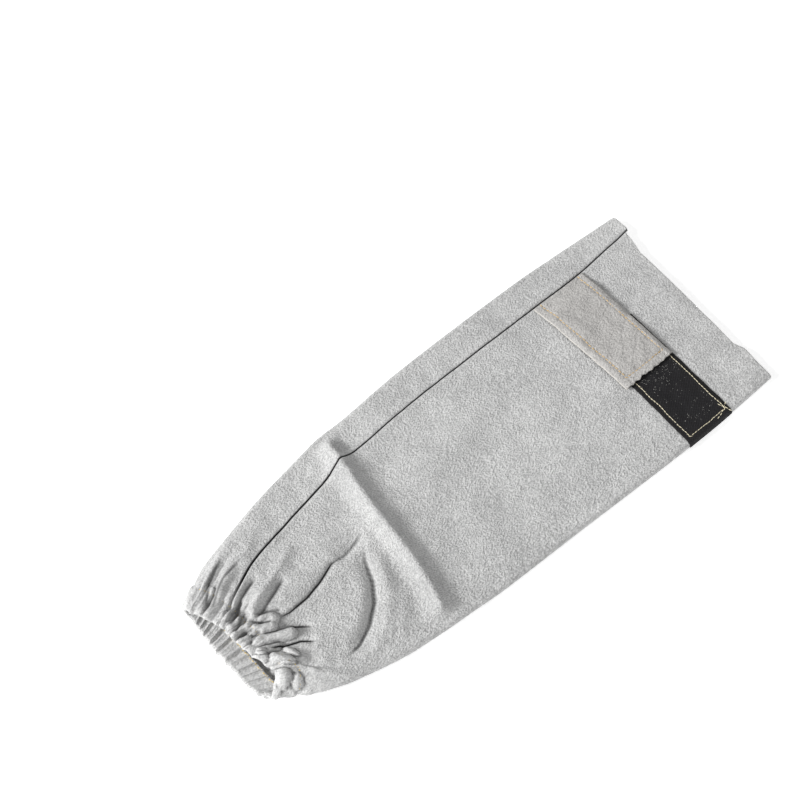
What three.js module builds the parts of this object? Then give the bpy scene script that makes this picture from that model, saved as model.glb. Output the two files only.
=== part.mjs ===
// Welding sleeve of split cowhide, lying flat on a table.
// X runs from the gathered cuff to the open upper-arm end, Y to the side seam, Z up.
// The sleeve is one leather tube. Every other piece is laid on the same skin function,
// so it follows the tube when a size changes.
import * as THREE from 'three';

// Driving sizes of the leather tube, in millimetres
const LENGTH = 517;            // open rim to cuff rim, on the floor
const WIDTH = 210;             // across the flattened upper arm
const BODY_DEPTH = 12.5;       // height of the lying tube at its crown
const HIDE = 1.5;              // thickness of the split leather
const RIM_STEP = 10;           // how far the strip beyond the seam stands out at the open rim
const RIM_FADE = 40;           // length over which the open rim's unevenness dies out
const SEAM_HALF_WIDTH = 1.4;   // half the width of the seam's groove
const SEAM_DEPTH = 1.1;        // depth of the seam's groove
const FOLD_RISE = 12;          // height of the main fold across the forearm
const FOLD_SPREAD = 10;        // half-width of the main fold at its slopes
const EDGE_FADE = 0.14;        // share of the half width over which folds die out at the edges

// Driving sizes of the gathered cuff
const CASING = 16;             // depth of the turned-in hem that holds the elastic
const LIP_SETBACK = 24;        // how far the upper lip lies behind the lower rim
const GATHER_REACH = 62;       // length over which the ruffles die out above the casing
const PLEAT_RISE = 2.3;        // height of a ruffle above and below the gathered skin
const MOUTH_GAP = 7;           // clear height of the flattened mouth at its corners
const ELASTIC = 1;             // thickness of the elastic band
const ELASTIC_END_PLAY = 2;    // room beside the band, to the rim and to the stitching

// Driving sizes of the closure, laid on the top layer beside the open end
const TAB_MIDDLE = 84;         // from the open rim to the middle of the tab's sewn end
const TAB_LENGTH = 111;        // from the seam to the tab's free end
const TAB_SEWN_WIDTH = 58;     // width in the seam
const TAB_FREE_WIDTH = 55;     // width at the free end
const TAB_SKEW = 4;            // how far the free end leans to the open rim
const TAB_CLIMB = 22;          // length over which the tab climbs from the seam onto the tapes
const HOOK_TAPE = 1;           // thickness of the hook tape
const HOOK_MARGIN = 3;         // from the hook tape's edge to the tab's edge
const LOOP_TAPE = 1.2;         // thickness of the loop tape
const LOOP_WIDTH = 50;         // width of the loop tape
const LOOP_MIDDLE = 76;        // from the open rim to the middle of the loop tape
const LOOP_OVERLAP = 52;       // length of the loop tape under the tab

const FIT_GAP = 0.3;           // clearance between any two pieces that touch

// Sizes that follow from these
const POCKET = ELASTIC + 2 * FIT_GAP;
const CUFF_STACK = 2 * HIDE + POCKET;
const RIM_RADIUS = CUFF_STACK / 2;
const CUFF_DEPTH = 2 * (CUFF_STACK + PLEAT_RISE) + MOUTH_GAP;
const CASING_START = LENGTH - RIM_RADIUS - CASING;
const TURN_START = LENGTH - RIM_RADIUS;
const LOOP_LIFT = FIT_GAP;
const HOOK_LIFT = LOOP_LIFT + LOOP_TAPE + FIT_GAP;
const TAB_LIFT = HOOK_LIFT + HOOK_TAPE + FIT_GAP;

// Sections along the tube. at is a share of the length from the open rim; the two edges and
// the seam line are shares of half the width; body is the crown's share of the body depth and
// cuff its share of the cuff depth; side is the share of the crown that the rolled edges take.
const SECTIONS = [
  { at: 0.000, seamEdge: 1.005, foldEdge: 0.975, seamLine: 0.820, body: 0.76, cuff: 0.00, side: 0.92 },
  { at: 0.103, seamEdge: 1.030, foldEdge: 1.000, seamLine: 0.752, body: 0.86, cuff: 0.00, side: 0.82 },
  { at: 0.212, seamEdge: 1.045, foldEdge: 1.008, seamLine: 0.738, body: 0.96, cuff: 0.00, side: 0.76 },
  { at: 0.461, seamEdge: 1.019, foldEdge: 0.990, seamLine: 0.712, body: 1.00, cuff: 0.00, side: 0.74 },
  { at: 0.597, seamEdge: 0.965, foldEdge: 0.982, seamLine: 0.680, body: 1.00, cuff: 0.00, side: 0.74 },
  { at: 0.648, seamEdge: 0.958, foldEdge: 0.965, seamLine: 0.700, body: 1.00, cuff: 0.00, side: 0.74 },
  { at: 0.698, seamEdge: 0.915, foldEdge: 0.952, seamLine: 0.620, body: 0.92, cuff: 0.08, side: 0.74 },
  { at: 0.784, seamEdge: 0.835, foldEdge: 0.910, seamLine: 0.520, body: 0.78, cuff: 0.24, side: 0.76 },
  { at: 0.866, seamEdge: 0.730, foldEdge: 0.815, seamLine: 0.420, body: 0.48, cuff: 0.54, side: 0.80 },
  { at: 0.911, seamEdge: 0.665, foldEdge: 0.742, seamLine: 0.345, body: 0.22, cuff: 0.80, side: 0.84 },
  { at: 0.951, seamEdge: 0.600, foldEdge: 0.670, seamLine: 0.245, body: 0.07, cuff: 0.98, side: 0.87 },
  { at: 0.977, seamEdge: 0.548, foldEdge: 0.610, seamLine: 0.215, body: 0.04, cuff: 1.02, side: 0.87 },
  { at: 1.000, seamEdge: 0.495, foldEdge: 0.550, seamLine: 0.205, body: 0.00, cuff: 1.02, side: 0.87 },
];

// Folds and lumps of the top layer. Each follows a path whose points are [share of the length,
// share of half the width]; rise and spread are shares of the main fold's height and spread.
const FOLDS = [
  { name: 'forearm_fold', rise: 1.00, spread: 1.10, path: [
    [0.646, 0.88], [0.655, 0.62], [0.663, 0.32], [0.670, -0.04], [0.676, -0.45], [0.687, -0.77],
    [0.690, -0.94]] },
  { name: 'hollow_before_fold', rise: -0.12, spread: 1.30, path: [
    [0.590, 0.60], [0.600, 0.10], [0.615, -0.60]] },
  { name: 'wrist_crease', rise: -0.36, spread: 0.34, path: [
    [0.724, -0.03], [0.778, 0.00], [0.833, -0.07], [0.901, -0.105]] },
  { name: 'wrist_crease_bank', rise: 0.26, spread: 0.60, path: [
    [0.740, 0.09], [0.830, 0.05], [0.885, -0.01]] },
  { name: 'curved_fold', rise: 0.34, spread: 0.46, path: [
    [0.730, -0.08], [0.751, -0.34], [0.776, -0.49], [0.823, -0.63], [0.864, -0.67], [0.897, -0.67]] },
  { name: 'seam_finger', rise: 0.24, spread: 0.40, path: [[0.830, 0.25], [0.866, 0.17], [0.925, 0.12]] },
  { name: 'finger_crease', rise: -0.26, spread: 0.30, path: [[0.862, 0.09], [0.926, 0.02]] },
  { name: 'edge_finger', rise: 0.22, spread: 0.45, path: [[0.840, 0.58], [0.885, 0.52], [0.935, 0.45]] },
  { name: 'upper_lump_crease', rise: -0.22, spread: 0.30, path: [[0.866, -0.30], [0.912, -0.17]] },
  { name: 'lower_lump_crease', rise: -0.22, spread: 0.30, path: [[0.882, -0.40], [0.914, -0.31]] },
  { name: 'upper_lump', rise: 0.22, spread: 0.60, path: [[0.926, -0.38], [0.934, -0.38]] },
  { name: 'lower_lump', rise: 0.20, spread: 0.55, path: [[0.944, -0.52], [0.952, -0.53]] },
];

// How fine a ring of points is: the plain body, the folded forearm or the pleated wrist
const PLAIN = 0;
const FOLDED = 1;
const PLEATED = 2;

// Zones round the ring, in order: the rolled edge by the seam, the strip between it and the
// seam, the seam's groove, the main top panel, the rolled far edge and the floor side.
// count is the number of steps; pleated tells whether the ruffles advance along the zone;
// every second column is left out of the rings that are plainer than between.
const ZONES = [
  { name: 'seamRoll', count: 8, pleated: true, between: PLEATED },
  { name: 'strip', count: 8, pleated: true, between: FOLDED },
  { name: 'seam', count: 2, pleated: false, between: PLAIN },
  { name: 'top', count: 24, pleated: true, between: FOLDED },
  { name: 'foldRoll', count: 8, pleated: true, between: PLEATED },
  { name: 'floor', count: 32, pleated: true, between: PLEATED },
];
const ZONE_INDEX = Object.fromEntries(ZONES.map((zone, index) => [zone.name, index]));
const STEPS_PER_PLEAT = 4;
const FLOOR_PLEAT_SHARE = 0.45;  // ruffles under the cuff are pressed flatter than those on top
const CORNER_PLEAT_SHARE = 0.7;  // and so are those on the rolled edges

// Unevenness of the two rims, as shares of the rim step and of the lip's setback. around counts
// zones: 1.5 is the middle of the strip, 3.25 a quarter of the way along the top.
const OPEN_RIM = [
  { around: 0.0, reach: 0.30 }, { around: 1.0, reach: 1.00 }, { around: 2.8, reach: 0.95 },
  { around: 3.06, reach: 0.26 }, { around: 3.23, reach: 0.16 }, { around: 3.38, reach: 0.08 },
  { around: 3.52, reach: 0.10 }, { around: 3.66, reach: 0.00 }, { around: 3.80, reach: 0.20 },
  { around: 3.90, reach: 0.12 }, { around: 4.0, reach: 0.02 }, { around: 5.0, reach: 0.02 },
  { around: 5.5, reach: 0.20 }, { around: 6.0, reach: 0.30 },
];
const CUFF_LIP = [
  { around: 0.0, reach: 0.14 }, { around: 1.0, reach: 0.14 }, { around: 2.0, reach: 0.40 },
  { around: 3.0, reach: 0.44 }, { around: 3.28, reach: 0.56 }, { around: 3.42, reach: 0.82 },
  { around: 3.65, reach: 0.92 }, { around: 3.82, reach: 1.00 }, { around: 3.94, reach: 0.60 },
  { around: 4.0, reach: 0.48 }, { around: 4.5, reach: 0.40 }, { around: 5.0, reach: 0.22 },
  { around: 5.15, reach: 0.04 }, { around: 5.80, reach: 0.00 }, { around: 6.0, reach: 0.14 },
];

// Value of one column of a table at a place along it, on a smooth curve through the rows
function readTable(rows, keyName, column, place) {
  const last = rows.length - 1;
  let i = 0;
  while (i < last - 1 && place > rows[i + 1][keyName]) i += 1;
  const slope = (k) => {
    const before = rows[Math.max(k - 1, 0)];
    const after = rows[Math.min(k + 1, last)];
    return (after[column] - before[column]) / (after[keyName] - before[keyName]);
  };
  const span = rows[i + 1][keyName] - rows[i][keyName];
  const t = THREE.MathUtils.clamp((place - rows[i][keyName]) / span, 0, 1);
  const t2 = t * t;
  const t3 = t2 * t;
  return (2 * t3 - 3 * t2 + 1) * rows[i][column] + (t3 - 2 * t2 + t) * span * slope(i)
    + (3 * t2 - 2 * t3) * rows[i + 1][column] + (t3 - t2) * span * slope(i + 1);
}

// Straight interpolation, for tables with sharp steps
function readSteps(rows, keyName, column, place) {
  let i = 0;
  while (i < rows.length - 2 && place > rows[i + 1][keyName]) i += 1;
  const t = (place - rows[i][keyName]) / (rows[i + 1][keyName] - rows[i][keyName]);
  return THREE.MathUtils.lerp(rows[i][column], rows[i + 1][column], THREE.MathUtils.clamp(t, 0, 1));
}

// Outline and heights of the tube at a distance from the open rim
function sectionAt(along) {
  const at = THREE.MathUtils.clamp(along / LENGTH, 0, 1);
  const half = WIDTH / 2;
  const read = (column) => readTable(SECTIONS, 'at', column, at);
  const crown = read('body') * BODY_DEPTH + read('cuff') * CUFF_DEPTH;
  const roll = crown * read('side') / 2;
  const seamSide = read('seamEdge') * half - roll;
  const foldSide = -read('foldEdge') * half + roll;
  return { crown, roll, seamSide, foldSide, seamLine: read('seamLine') * half };
}

// Distance in the plane from a point to a path
function distanceToPath(x, y, path) {
  let best = Infinity;
  for (let i = 0; i + 1 < path.length; i += 1) {
    const [ax, ay] = path[i];
    const [bx, by] = path[i + 1];
    const run = (bx - ax) ** 2 + (by - ay) ** 2;
    const t = THREE.MathUtils.clamp(((x - ax) * (bx - ax) + (y - ay) * (by - ay)) / run, 0, 1);
    best = Math.min(best, Math.hypot(x - ax - t * (bx - ax), y - ay - t * (by - ay)));
  }
  return best;
}

const FOLD_PATHS = FOLDS.map((fold) => fold.path.map(([at, across]) => [at * LENGTH, across * WIDTH / 2]));

// Rise of all folds over the smooth top layer
function foldRise(fromRim, y) {
  let rise = 0;
  FOLDS.forEach((fold, i) => {
    const distance = distanceToPath(fromRim, y, FOLD_PATHS[i]) / (fold.spread * FOLD_SPREAD);
    rise += fold.rise * FOLD_RISE * Math.exp(-0.5 * distance * distance);
  });
  return rise;
}

// Height of the ruffles at a distance from the open rim
function pleatHeight(along) {
  return PLEAT_RISE * THREE.MathUtils.smoothstep(along, CASING_START - GATHER_REACH, CASING_START);
}

// The skin: a point of the sleeve at a distance along, at a place round the ring given by zone
// and share, sunk by depth below the outer surface. wave runs from -1 in a valley to 1 on a crest.
function skinPoint(along, zoneIndex, share, depth, wave) {
  const section = sectionAt(along);
  const { crown, roll, seamSide, foldSide, seamLine } = section;
  const pleat = pleatHeight(along);
  const middle = (seamSide + foldSide) / 2;
  const halfTop = (seamSide - foldSide) / 2;
  const zone = ZONES[zoneIndex].name;
  let y = 0;
  let z = 0;
  let normal = [0, 1];
  let pleatShare = 1;
  if (zone === 'seamRoll' || zone === 'foldRoll') {
    const angle = (zone === 'seamRoll' ? -0.5 : 0.5) * Math.PI + share * Math.PI;
    normal = [Math.cos(angle), Math.sin(angle)];
    y = (zone === 'seamRoll' ? seamSide : foldSide) + roll * normal[0];
    z = roll + roll * normal[1];
    pleatShare = CORNER_PLEAT_SHARE;
  } else if (zone === 'floor') {
    normal = [0, -1];
    y = THREE.MathUtils.lerp(foldSide, seamSide, share);
    pleatShare = FLOOR_PLEAT_SHARE;
  } else {
    const grooveHalf = SEAM_HALF_WIDTH;
    if (zone === 'strip') y = THREE.MathUtils.lerp(seamSide, seamLine + grooveHalf, share);
    if (zone === 'seam') y = seamLine + grooveHalf * (1 - 2 * share);
    if (zone === 'top') y = THREE.MathUtils.lerp(seamLine - grooveHalf, foldSide, share);
    const across = (y - middle) / halfTop;
    z = 2 * roll + (crown - 2 * roll) * (1 - across * across);
    if (zone === 'seam') z -= SEAM_DEPTH * (1 - Math.abs(1 - 2 * share));
  }
  const around = zoneIndex + share;
  const open = 1 - THREE.MathUtils.smoothstep(along, 0, RIM_FADE);
  const cuff = THREE.MathUtils.smoothstep(along, CASING_START - GATHER_REACH, TURN_START);
  const x = -along + open * RIM_STEP * readSteps(OPEN_RIM, 'around', 'reach', around)
    + cuff * LIP_SETBACK * readSteps(CUFF_LIP, 'around', 'reach', around);
  if (zone === 'strip' || zone === 'seam' || zone === 'top') {
    const edge = 1 - Math.abs(y - middle) / halfTop;
    z += foldRise(-x, y) * THREE.MathUtils.smoothstep(edge, 0, EDGE_FADE);
  }
  const out = pleat * pleatShare * wave - depth;
  return [x, y + normal[0] * out, z + normal[1] * out + pleat * FLOOR_PLEAT_SHARE];
}

// Columns of the ring, one after another, with the wave of the ruffles on each
function ringColumns() {
  const columns = [];
  let phase = 0;
  ZONES.forEach((zone, zoneIndex) => {
    for (let k = 0; k < zone.count; k += 1) {
      const wave = -Math.cos(phase * 2 * Math.PI / STEPS_PER_PLEAT);
      columns.push({ zoneIndex, share: k / zone.count, wave, detail: k % 2 === 0 ? PLAIN : zone.between });
      if (zone.pleated) phase += 1;
    }
  });
  return columns;
}

// Stations of the tube wall from the open rim, as shares of the length
const BODY_STATIONS = [0, 0.045, 0.095, 0.145, 0.195, 0.275, 0.36, 0.45, 0.53, 0.58];
const FOREARM_STATIONS = [0.612, 0.636, 0.656, 0.674, 0.692, 0.716, 0.748, 0.782];
const WRIST_STATIONS = [0.814, 0.844, 0.870, 0.894, 0.917, 0.940];
const TURN_STEPS = 4;

// The wall's profile: a closed loop of places along the tube and depths below its outer face.
// It runs down the outside, turns in round the cuff rim, comes back as the hem, turns on the
// hem's raw edge, and returns down the pocket and up the inside of the tube.
function wallProfile() {
  const wall = [
    ...BODY_STATIONS.map((share) => ({ along: share * LENGTH, detail: PLAIN })),
    ...FOREARM_STATIONS.map((share) => ({ along: share * LENGTH, detail: FOLDED })),
    ...WRIST_STATIONS.map((share) => ({ along: share * LENGTH, detail: PLEATED })),
    { along: CASING_START, detail: PLEATED },
    { along: CASING_START + ELASTIC_END_PLAY, detail: PLEATED },
    { along: TURN_START - ELASTIC_END_PLAY, detail: PLEATED },
    { along: TURN_START, detail: PLEATED },
  ];
  const profile = wall.map(({ along, detail }) => ({ along, depth: 0, detail }));
  const add = (along, depth) => profile.push({ along, depth, detail: PLEATED });
  for (let k = 1; k < TURN_STEPS; k += 1) {
    const angle = Math.PI * k / TURN_STEPS;
    add(TURN_START + RIM_RADIUS * Math.sin(angle), RIM_RADIUS * (1 - Math.cos(angle)));
  }
  add(TURN_START, CUFF_STACK);
  add(TURN_START - ELASTIC_END_PLAY, CUFF_STACK);
  add(CASING_START + ELASTIC_END_PLAY, CUFF_STACK);
  add(CASING_START, CUFF_STACK - ELASTIC - FIT_GAP);
  add(CASING_START, HIDE + FIT_GAP);
  add(CASING_START + ELASTIC_END_PLAY, HIDE + POCKET);
  add(TURN_START - ELASTIC_END_PLAY, HIDE + POCKET);
  add(TURN_START, HIDE + POCKET);
  add(TURN_START + POCKET / 2, HIDE + POCKET / 2);
  wall.reverse().forEach(({ along, detail }) => profile.push({ along, depth: HIDE, detail }));
  return profile;
}

// Turns a list of points and triangles into a mesh whose faces point out
function closedMesh(name, material, points, faces) {
  let volume = 0;
  faces.forEach(([a, b, c]) => {
    const [p, q, r] = [points[a], points[b], points[c]];
    volume += p[0] * (q[1] * r[2] - q[2] * r[1]) + p[1] * (q[2] * r[0] - q[0] * r[2])
      + p[2] * (q[0] * r[1] - q[1] * r[0]);
  });
  const outward = volume > 0 ? faces : faces.map(([a, b, c]) => [a, c, b]);
  const geometry = new THREE.BufferGeometry();
  geometry.setAttribute('position', new THREE.Float32BufferAttribute(points.flat(), 3));
  geometry.setIndex(outward.flat());
  geometry.computeVertexNormals();
  const mesh = new THREE.Mesh(geometry, material);
  mesh.name = name;
  return mesh;
}

// Joins two rows of points that start and end together, one of which may have more points
function bridgeRows(faces, low, high) {
  if (low.length === high.length) {
    for (let k = 0; k + 1 < low.length; k += 1) {
      faces.push([low[k], low[k + 1], high[k + 1]], [low[k], high[k + 1], high[k]]);
    }
    return;
  }
  const flip = low.length > high.length;
  const few = flip ? high : low;
  const many = flip ? low : high;
  const middle = Math.floor((many.length - 1) / 2);
  const push = (a, b, c) => faces.push(flip ? [a, c, b] : [a, b, c]);
  for (let k = 0; k < middle; k += 1) push(few[0], many[k + 1], many[k]);
  push(few[0], few[1], many[middle]);
  for (let k = middle; k + 1 < many.length; k += 1) push(few[1], many[k + 1], many[k]);
}

// Joins two neighbouring rings, between each pair of columns that both of them have
function bridgeRings(faces, first, second) {
  const count = first.length;
  const shared = [...first.keys()]
    .filter((column) => first[column] !== undefined && second[column] !== undefined);
  shared.forEach((column, i) => {
    const next = shared[(i + 1) % shared.length];
    const steps = (next - column + count) % count;
    const walk = (ring) => [...Array(steps + 1).keys()]
      .map((k) => ring[(column + k) % count]).filter((index) => index !== undefined);
    bridgeRows(faces, walk(first), walk(second));
  });
}

// Sweeps a closed profile round the sleeve
function sweepRound(name, material, profile) {
  const columns = ringColumns();
  const points = [];
  const faces = [];
  const rings = profile.map(({ along, depth, detail }) => columns.map((column) => {
    if (column.detail > detail) return undefined;
    points.push(skinPoint(along, column.zoneIndex, column.share, depth, column.wave));
    return points.length - 1;
  }));
  rings.forEach((ring, i) => bridgeRings(faces, ring, rings[(i + 1) % rings.length]));
  return closedMesh(name, material, points, faces);
}

// Place round the ring of a distance measured from the seam over the top layer
function placeFromSeam(along, distance) {
  const { seamLine, foldSide, roll } = sectionAt(along);
  const topLength = seamLine - SEAM_HALF_WIDTH - foldSide;
  if (distance <= topLength) return { zoneIndex: ZONE_INDEX.top, share: distance / topLength };
  return { zoneIndex: ZONE_INDEX.foldRoll, share: (distance - topLength) / (Math.PI * roll) };
}

// A flat piece laid on the top layer: spans gives, for each distance from the seam, where the
// piece starts and ends along the sleeve and how far its under and upper faces are lifted.
const LAID_STEPS = 3;
function layOnTop(name, material, spans) {
  const points = [];
  const faces = [];
  const rows = spans.map(({ distance, from, to, under, over }) => {
    const place = (k, lift) => {
      const along = THREE.MathUtils.lerp(from, to, k / LAID_STEPS);
      const { zoneIndex, share } = placeFromSeam(along, distance);
      points.push(skinPoint(along, zoneIndex, share, -lift, 0));
      return points.length - 1;
    };
    const steps = [...Array(LAID_STEPS + 1).keys()];
    const upper = steps.map((k) => place(k, over));
    const lower = steps.map((k) => place(k, under));
    return [...upper, ...lower.reverse()];
  });
  const size = rows[0].length;
  for (let i = 0; i + 1 < rows.length; i += 1) {
    for (let k = 0; k < size; k += 1) {
      const next = (k + 1) % size;
      const [low, high] = [rows[i], rows[i + 1]];
      faces.push([low[k], low[next], high[next]], [low[k], high[next], high[k]]);
    }
  }
  [rows[0], rows[rows.length - 1]].forEach((row, end) => {
    for (let k = 0; k < LAID_STEPS; k += 1) {
      const quad = [row[k], row[k + 1], row[size - 2 - k], row[size - 1 - k]];
      const loop = end === 0 ? quad.reverse() : quad;
      faces.push([loop[0], loop[1], loop[2]], [loop[0], loop[2], loop[3]]);
    }
  });
  return closedMesh(name, material, points, faces);
}

// Edges of the tab at a distance from the seam, drawn in by a margin
function tabEdges(distance, margin) {
  const share = distance / TAB_LENGTH;
  const middle = TAB_MIDDLE - TAB_SKEW * share;
  const half = THREE.MathUtils.lerp(TAB_SEWN_WIDTH, TAB_FREE_WIDTH, share) / 2 - margin;
  return { from: middle - half, to: middle + half };
}

// Evenly spaced distances between two ends
function distancesBetween(start, end, count) {
  return [...Array(count + 1).keys()].map((k) => THREE.MathUtils.lerp(start, end, k / count));
}

const TAB_SPANS = 12;
const TAPE_SPANS = 12;

// The leather tab climbs from the seam onto the tapes and lies on them to its free end
function closureTab(material) {
  const spans = distancesBetween(0, TAB_LENGTH, TAB_SPANS).map((distance) => {
    const climb = THREE.MathUtils.smoothstep(distance, 0, TAB_CLIMB);
    const under = THREE.MathUtils.lerp(FIT_GAP, TAB_LIFT, climb);
    return { distance, ...tabEdges(distance, 0), under, over: under + HIDE };
  });
  return layOnTop('closure_tab', material, spans);
}

// The hook tape fills the tab's underside from the end of its climb
function hookStrip(material) {
  const spans = distancesBetween(TAB_CLIMB, TAB_LENGTH - HOOK_MARGIN, TAB_SPANS).map((distance) => ({
    distance, ...tabEdges(distance, HOOK_MARGIN), under: HOOK_LIFT, over: HOOK_LIFT + HOOK_TAPE,
  }));
  return layOnTop('tab_hook_strip', material, spans);
}

// The loop tape runs from under the tab over the top layer and a little way round the far edge
const LOOP_TURN = 0.3;  // share of the rolled edge that the loop tape goes round
const TURN_SPANS = 6;
function loopPatch(material) {
  const { seamLine, foldSide, roll } = sectionAt(LOOP_MIDDLE);
  const topEnd = seamLine - foldSide - LOOP_TAPE;
  const end = topEnd + LOOP_TURN * Math.PI * roll;
  const flat = distancesBetween(TAB_LENGTH - LOOP_OVERLAP, topEnd, TAPE_SPANS);
  const turned = distancesBetween(topEnd, end, TURN_SPANS).slice(1);
  const spans = [...flat, ...turned].map((distance) => ({
    distance, from: LOOP_MIDDLE - LOOP_WIDTH / 2, to: LOOP_MIDDLE + LOOP_WIDTH / 2,
    under: LOOP_LIFT, over: LOOP_LIFT + LOOP_TAPE,
  }));
  return layOnTop('loop_patch', material, spans);
}

// The elastic lies in the pocket between the wall and the hem. Its profile runs the same way
// round as theirs, so that its facets lie parallel to the pocket's.
function cuffElastic(material) {
  const start = CASING_START + ELASTIC_END_PLAY;
  const end = TURN_START - ELASTIC_END_PLAY;
  const outer = HIDE + FIT_GAP;
  return sweepRound('cuff_elastic', material, [
    { along: end, depth: outer, detail: PLEATED },
    { along: start, depth: outer, detail: PLEATED },
    { along: start, depth: outer + ELASTIC, detail: PLEATED },
    { along: end, depth: outer + ELASTIC, detail: PLEATED },
  ]);
}

const suede = new THREE.MeshStandardMaterial({ color: 0xc2c3c3, roughness: 0.95, metalness: 0 });
const tabSuede = new THREE.MeshStandardMaterial({ color: 0xb4b2af, roughness: 0.95, metalness: 0 });
const loopFabric = new THREE.MeshStandardMaterial({ color: 0x29292b, roughness: 0.9, metalness: 0 });
const hookPlastic = new THREE.MeshStandardMaterial({ color: 0x222224, roughness: 0.6, metalness: 0 });
const elasticFabric = new THREE.MeshStandardMaterial({ color: 0xe6e4df, roughness: 0.9, metalness: 0 });

const sleeve = new THREE.Group();
sleeve.add(sweepRound('sleeve_panel', suede, wallProfile()));
sleeve.add(closureTab(tabSuede));
sleeve.add(hookStrip(hookPlastic));
sleeve.add(loopPatch(loopFabric));
sleeve.add(cuffElastic(elasticFabric));

// The origin is the middle of the footprint, on the floor
const box = new THREE.Box3().setFromObject(sleeve);
sleeve.position.set(-(box.min.x + box.max.x) / 2, -(box.min.y + box.max.y) / 2, -box.min.z);

export default sleeve;
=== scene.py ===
# %% [markdown]
# # A welding sleeve of split cowhide
# The sleeve is a flat-lying tube of grey suede: gathered on an elastic at the wrist, sewn up
# along its side, and closed at the upper arm by a leather tab on hook-and-loop tape.
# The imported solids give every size. This script dresses them: it lays a finer skin over the
# tube, adds the ruffles, the seam and the stitches, and finishes each material.

# %% Load the frame and keep its box
import math

import bpy
import numpy as np
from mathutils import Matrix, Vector


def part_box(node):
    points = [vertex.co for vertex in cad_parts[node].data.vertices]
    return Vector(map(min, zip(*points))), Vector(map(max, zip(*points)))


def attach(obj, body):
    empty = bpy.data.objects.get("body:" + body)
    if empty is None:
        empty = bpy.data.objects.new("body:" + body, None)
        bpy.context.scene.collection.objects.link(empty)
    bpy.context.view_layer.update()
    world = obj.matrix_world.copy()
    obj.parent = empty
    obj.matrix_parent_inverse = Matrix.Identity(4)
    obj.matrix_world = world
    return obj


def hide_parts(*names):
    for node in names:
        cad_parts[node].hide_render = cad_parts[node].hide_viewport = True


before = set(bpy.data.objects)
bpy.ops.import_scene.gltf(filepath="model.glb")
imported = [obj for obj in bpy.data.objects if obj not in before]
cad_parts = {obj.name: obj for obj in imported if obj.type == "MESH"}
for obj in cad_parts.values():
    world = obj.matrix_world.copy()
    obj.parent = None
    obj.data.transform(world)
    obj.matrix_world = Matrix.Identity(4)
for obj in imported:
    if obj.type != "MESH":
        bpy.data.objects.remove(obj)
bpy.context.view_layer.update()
MM = 0.001
print("solids:", sorted(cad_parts))

# %% [markdown]
# ## Driving sizes
# These are the tube's sizes, the same as those of its solids, in millimetres. Everything that
# is sewn to the tube is measured from them.

# %% Sizes of the tube and of what lies on it
LENGTH = 517            # open rim to cuff rim
WIDTH = 210             # across the flattened upper arm
BODY_DEPTH = 12.5       # height of the lying tube at its crown
HIDE = 1.5              # thickness of the split leather
RIM_STEP = 10           # how far the strip beyond the seam stands out at the open rim
RIM_FADE = 40           # length over which the open rim's unevenness dies out
CASING = 16             # depth of the turned-in hem that holds the elastic
LIP_SETBACK = 24        # how far the upper lip lies behind the lower rim
GATHER_REACH = 62       # length over which the ruffles die out above the casing
PLEAT_RISE = 2.3        # height that the ruffles take in the solids
MOUTH_GAP = 7           # clear height of the flattened mouth at its corners
ELASTIC = 1             # thickness of the elastic band
FIT_GAP = 0.3           # clearance between two pieces that touch
EDGE_FADE = 0.14        # share of the half width over which folds die out at the edges

POCKET = ELASTIC + 2 * FIT_GAP
CUFF_STACK = 2 * HIDE + POCKET
RIM_RADIUS = CUFF_STACK / 2
CUFF_DEPTH = 2 * (CUFF_STACK + PLEAT_RISE) + MOUTH_GAP
TURN_START = LENGTH - RIM_RADIUS
CASING_START = TURN_START - CASING
print("cuff depth", CUFF_DEPTH, "casing from", CASING_START)

# %% [markdown]
# ## The shape of the tube
# A flat-lying sleeve is a family of sections: each has two outer edges, a seam line, a crown
# height and two rolled edges. The table has a row for each place where the outline changes,
# and a smooth curve runs through the rows. The mouth is drawn in a little more than the solid.

# %% Sections, as shares of the half width, of the body depth and of the cuff depth
def table(columns, *rows):
    """Rows of numbers, each number under the name of its column."""
    return [dict(zip(columns.split(), row)) for row in rows]


SECTIONS = table(
    "at seam_edge fold_edge seam_line body cuff side",
    (0.000, 1.005, 0.975, 0.820, 0.76, 0.00, 0.92),
    (0.103, 1.030, 1.000, 0.752, 0.86, 0.00, 0.82),
    (0.212, 1.045, 1.008, 0.738, 0.96, 0.00, 0.76),
    (0.461, 1.019, 0.990, 0.712, 1.00, 0.00, 0.74),
    (0.597, 0.965, 0.982, 0.665, 1.00, 0.00, 0.74),
    (0.648, 0.958, 0.965, 0.646, 1.00, 0.00, 0.74),
    (0.698, 0.915, 0.952, 0.588, 0.92, 0.08, 0.74),
    (0.784, 0.835, 0.910, 0.500, 0.78, 0.24, 0.76),
    (0.866, 0.730, 0.815, 0.400, 0.48, 0.54, 0.80),
    (0.911, 0.662, 0.738, 0.318, 0.22, 0.80, 0.84),
    (0.951, 0.578, 0.645, 0.238, 0.07, 0.98, 0.87),
    (0.977, 0.508, 0.572, 0.165, 0.04, 1.02, 0.87),
    (1.000, 0.448, 0.510, 0.135, 0.00, 1.02, 0.87))


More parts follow.
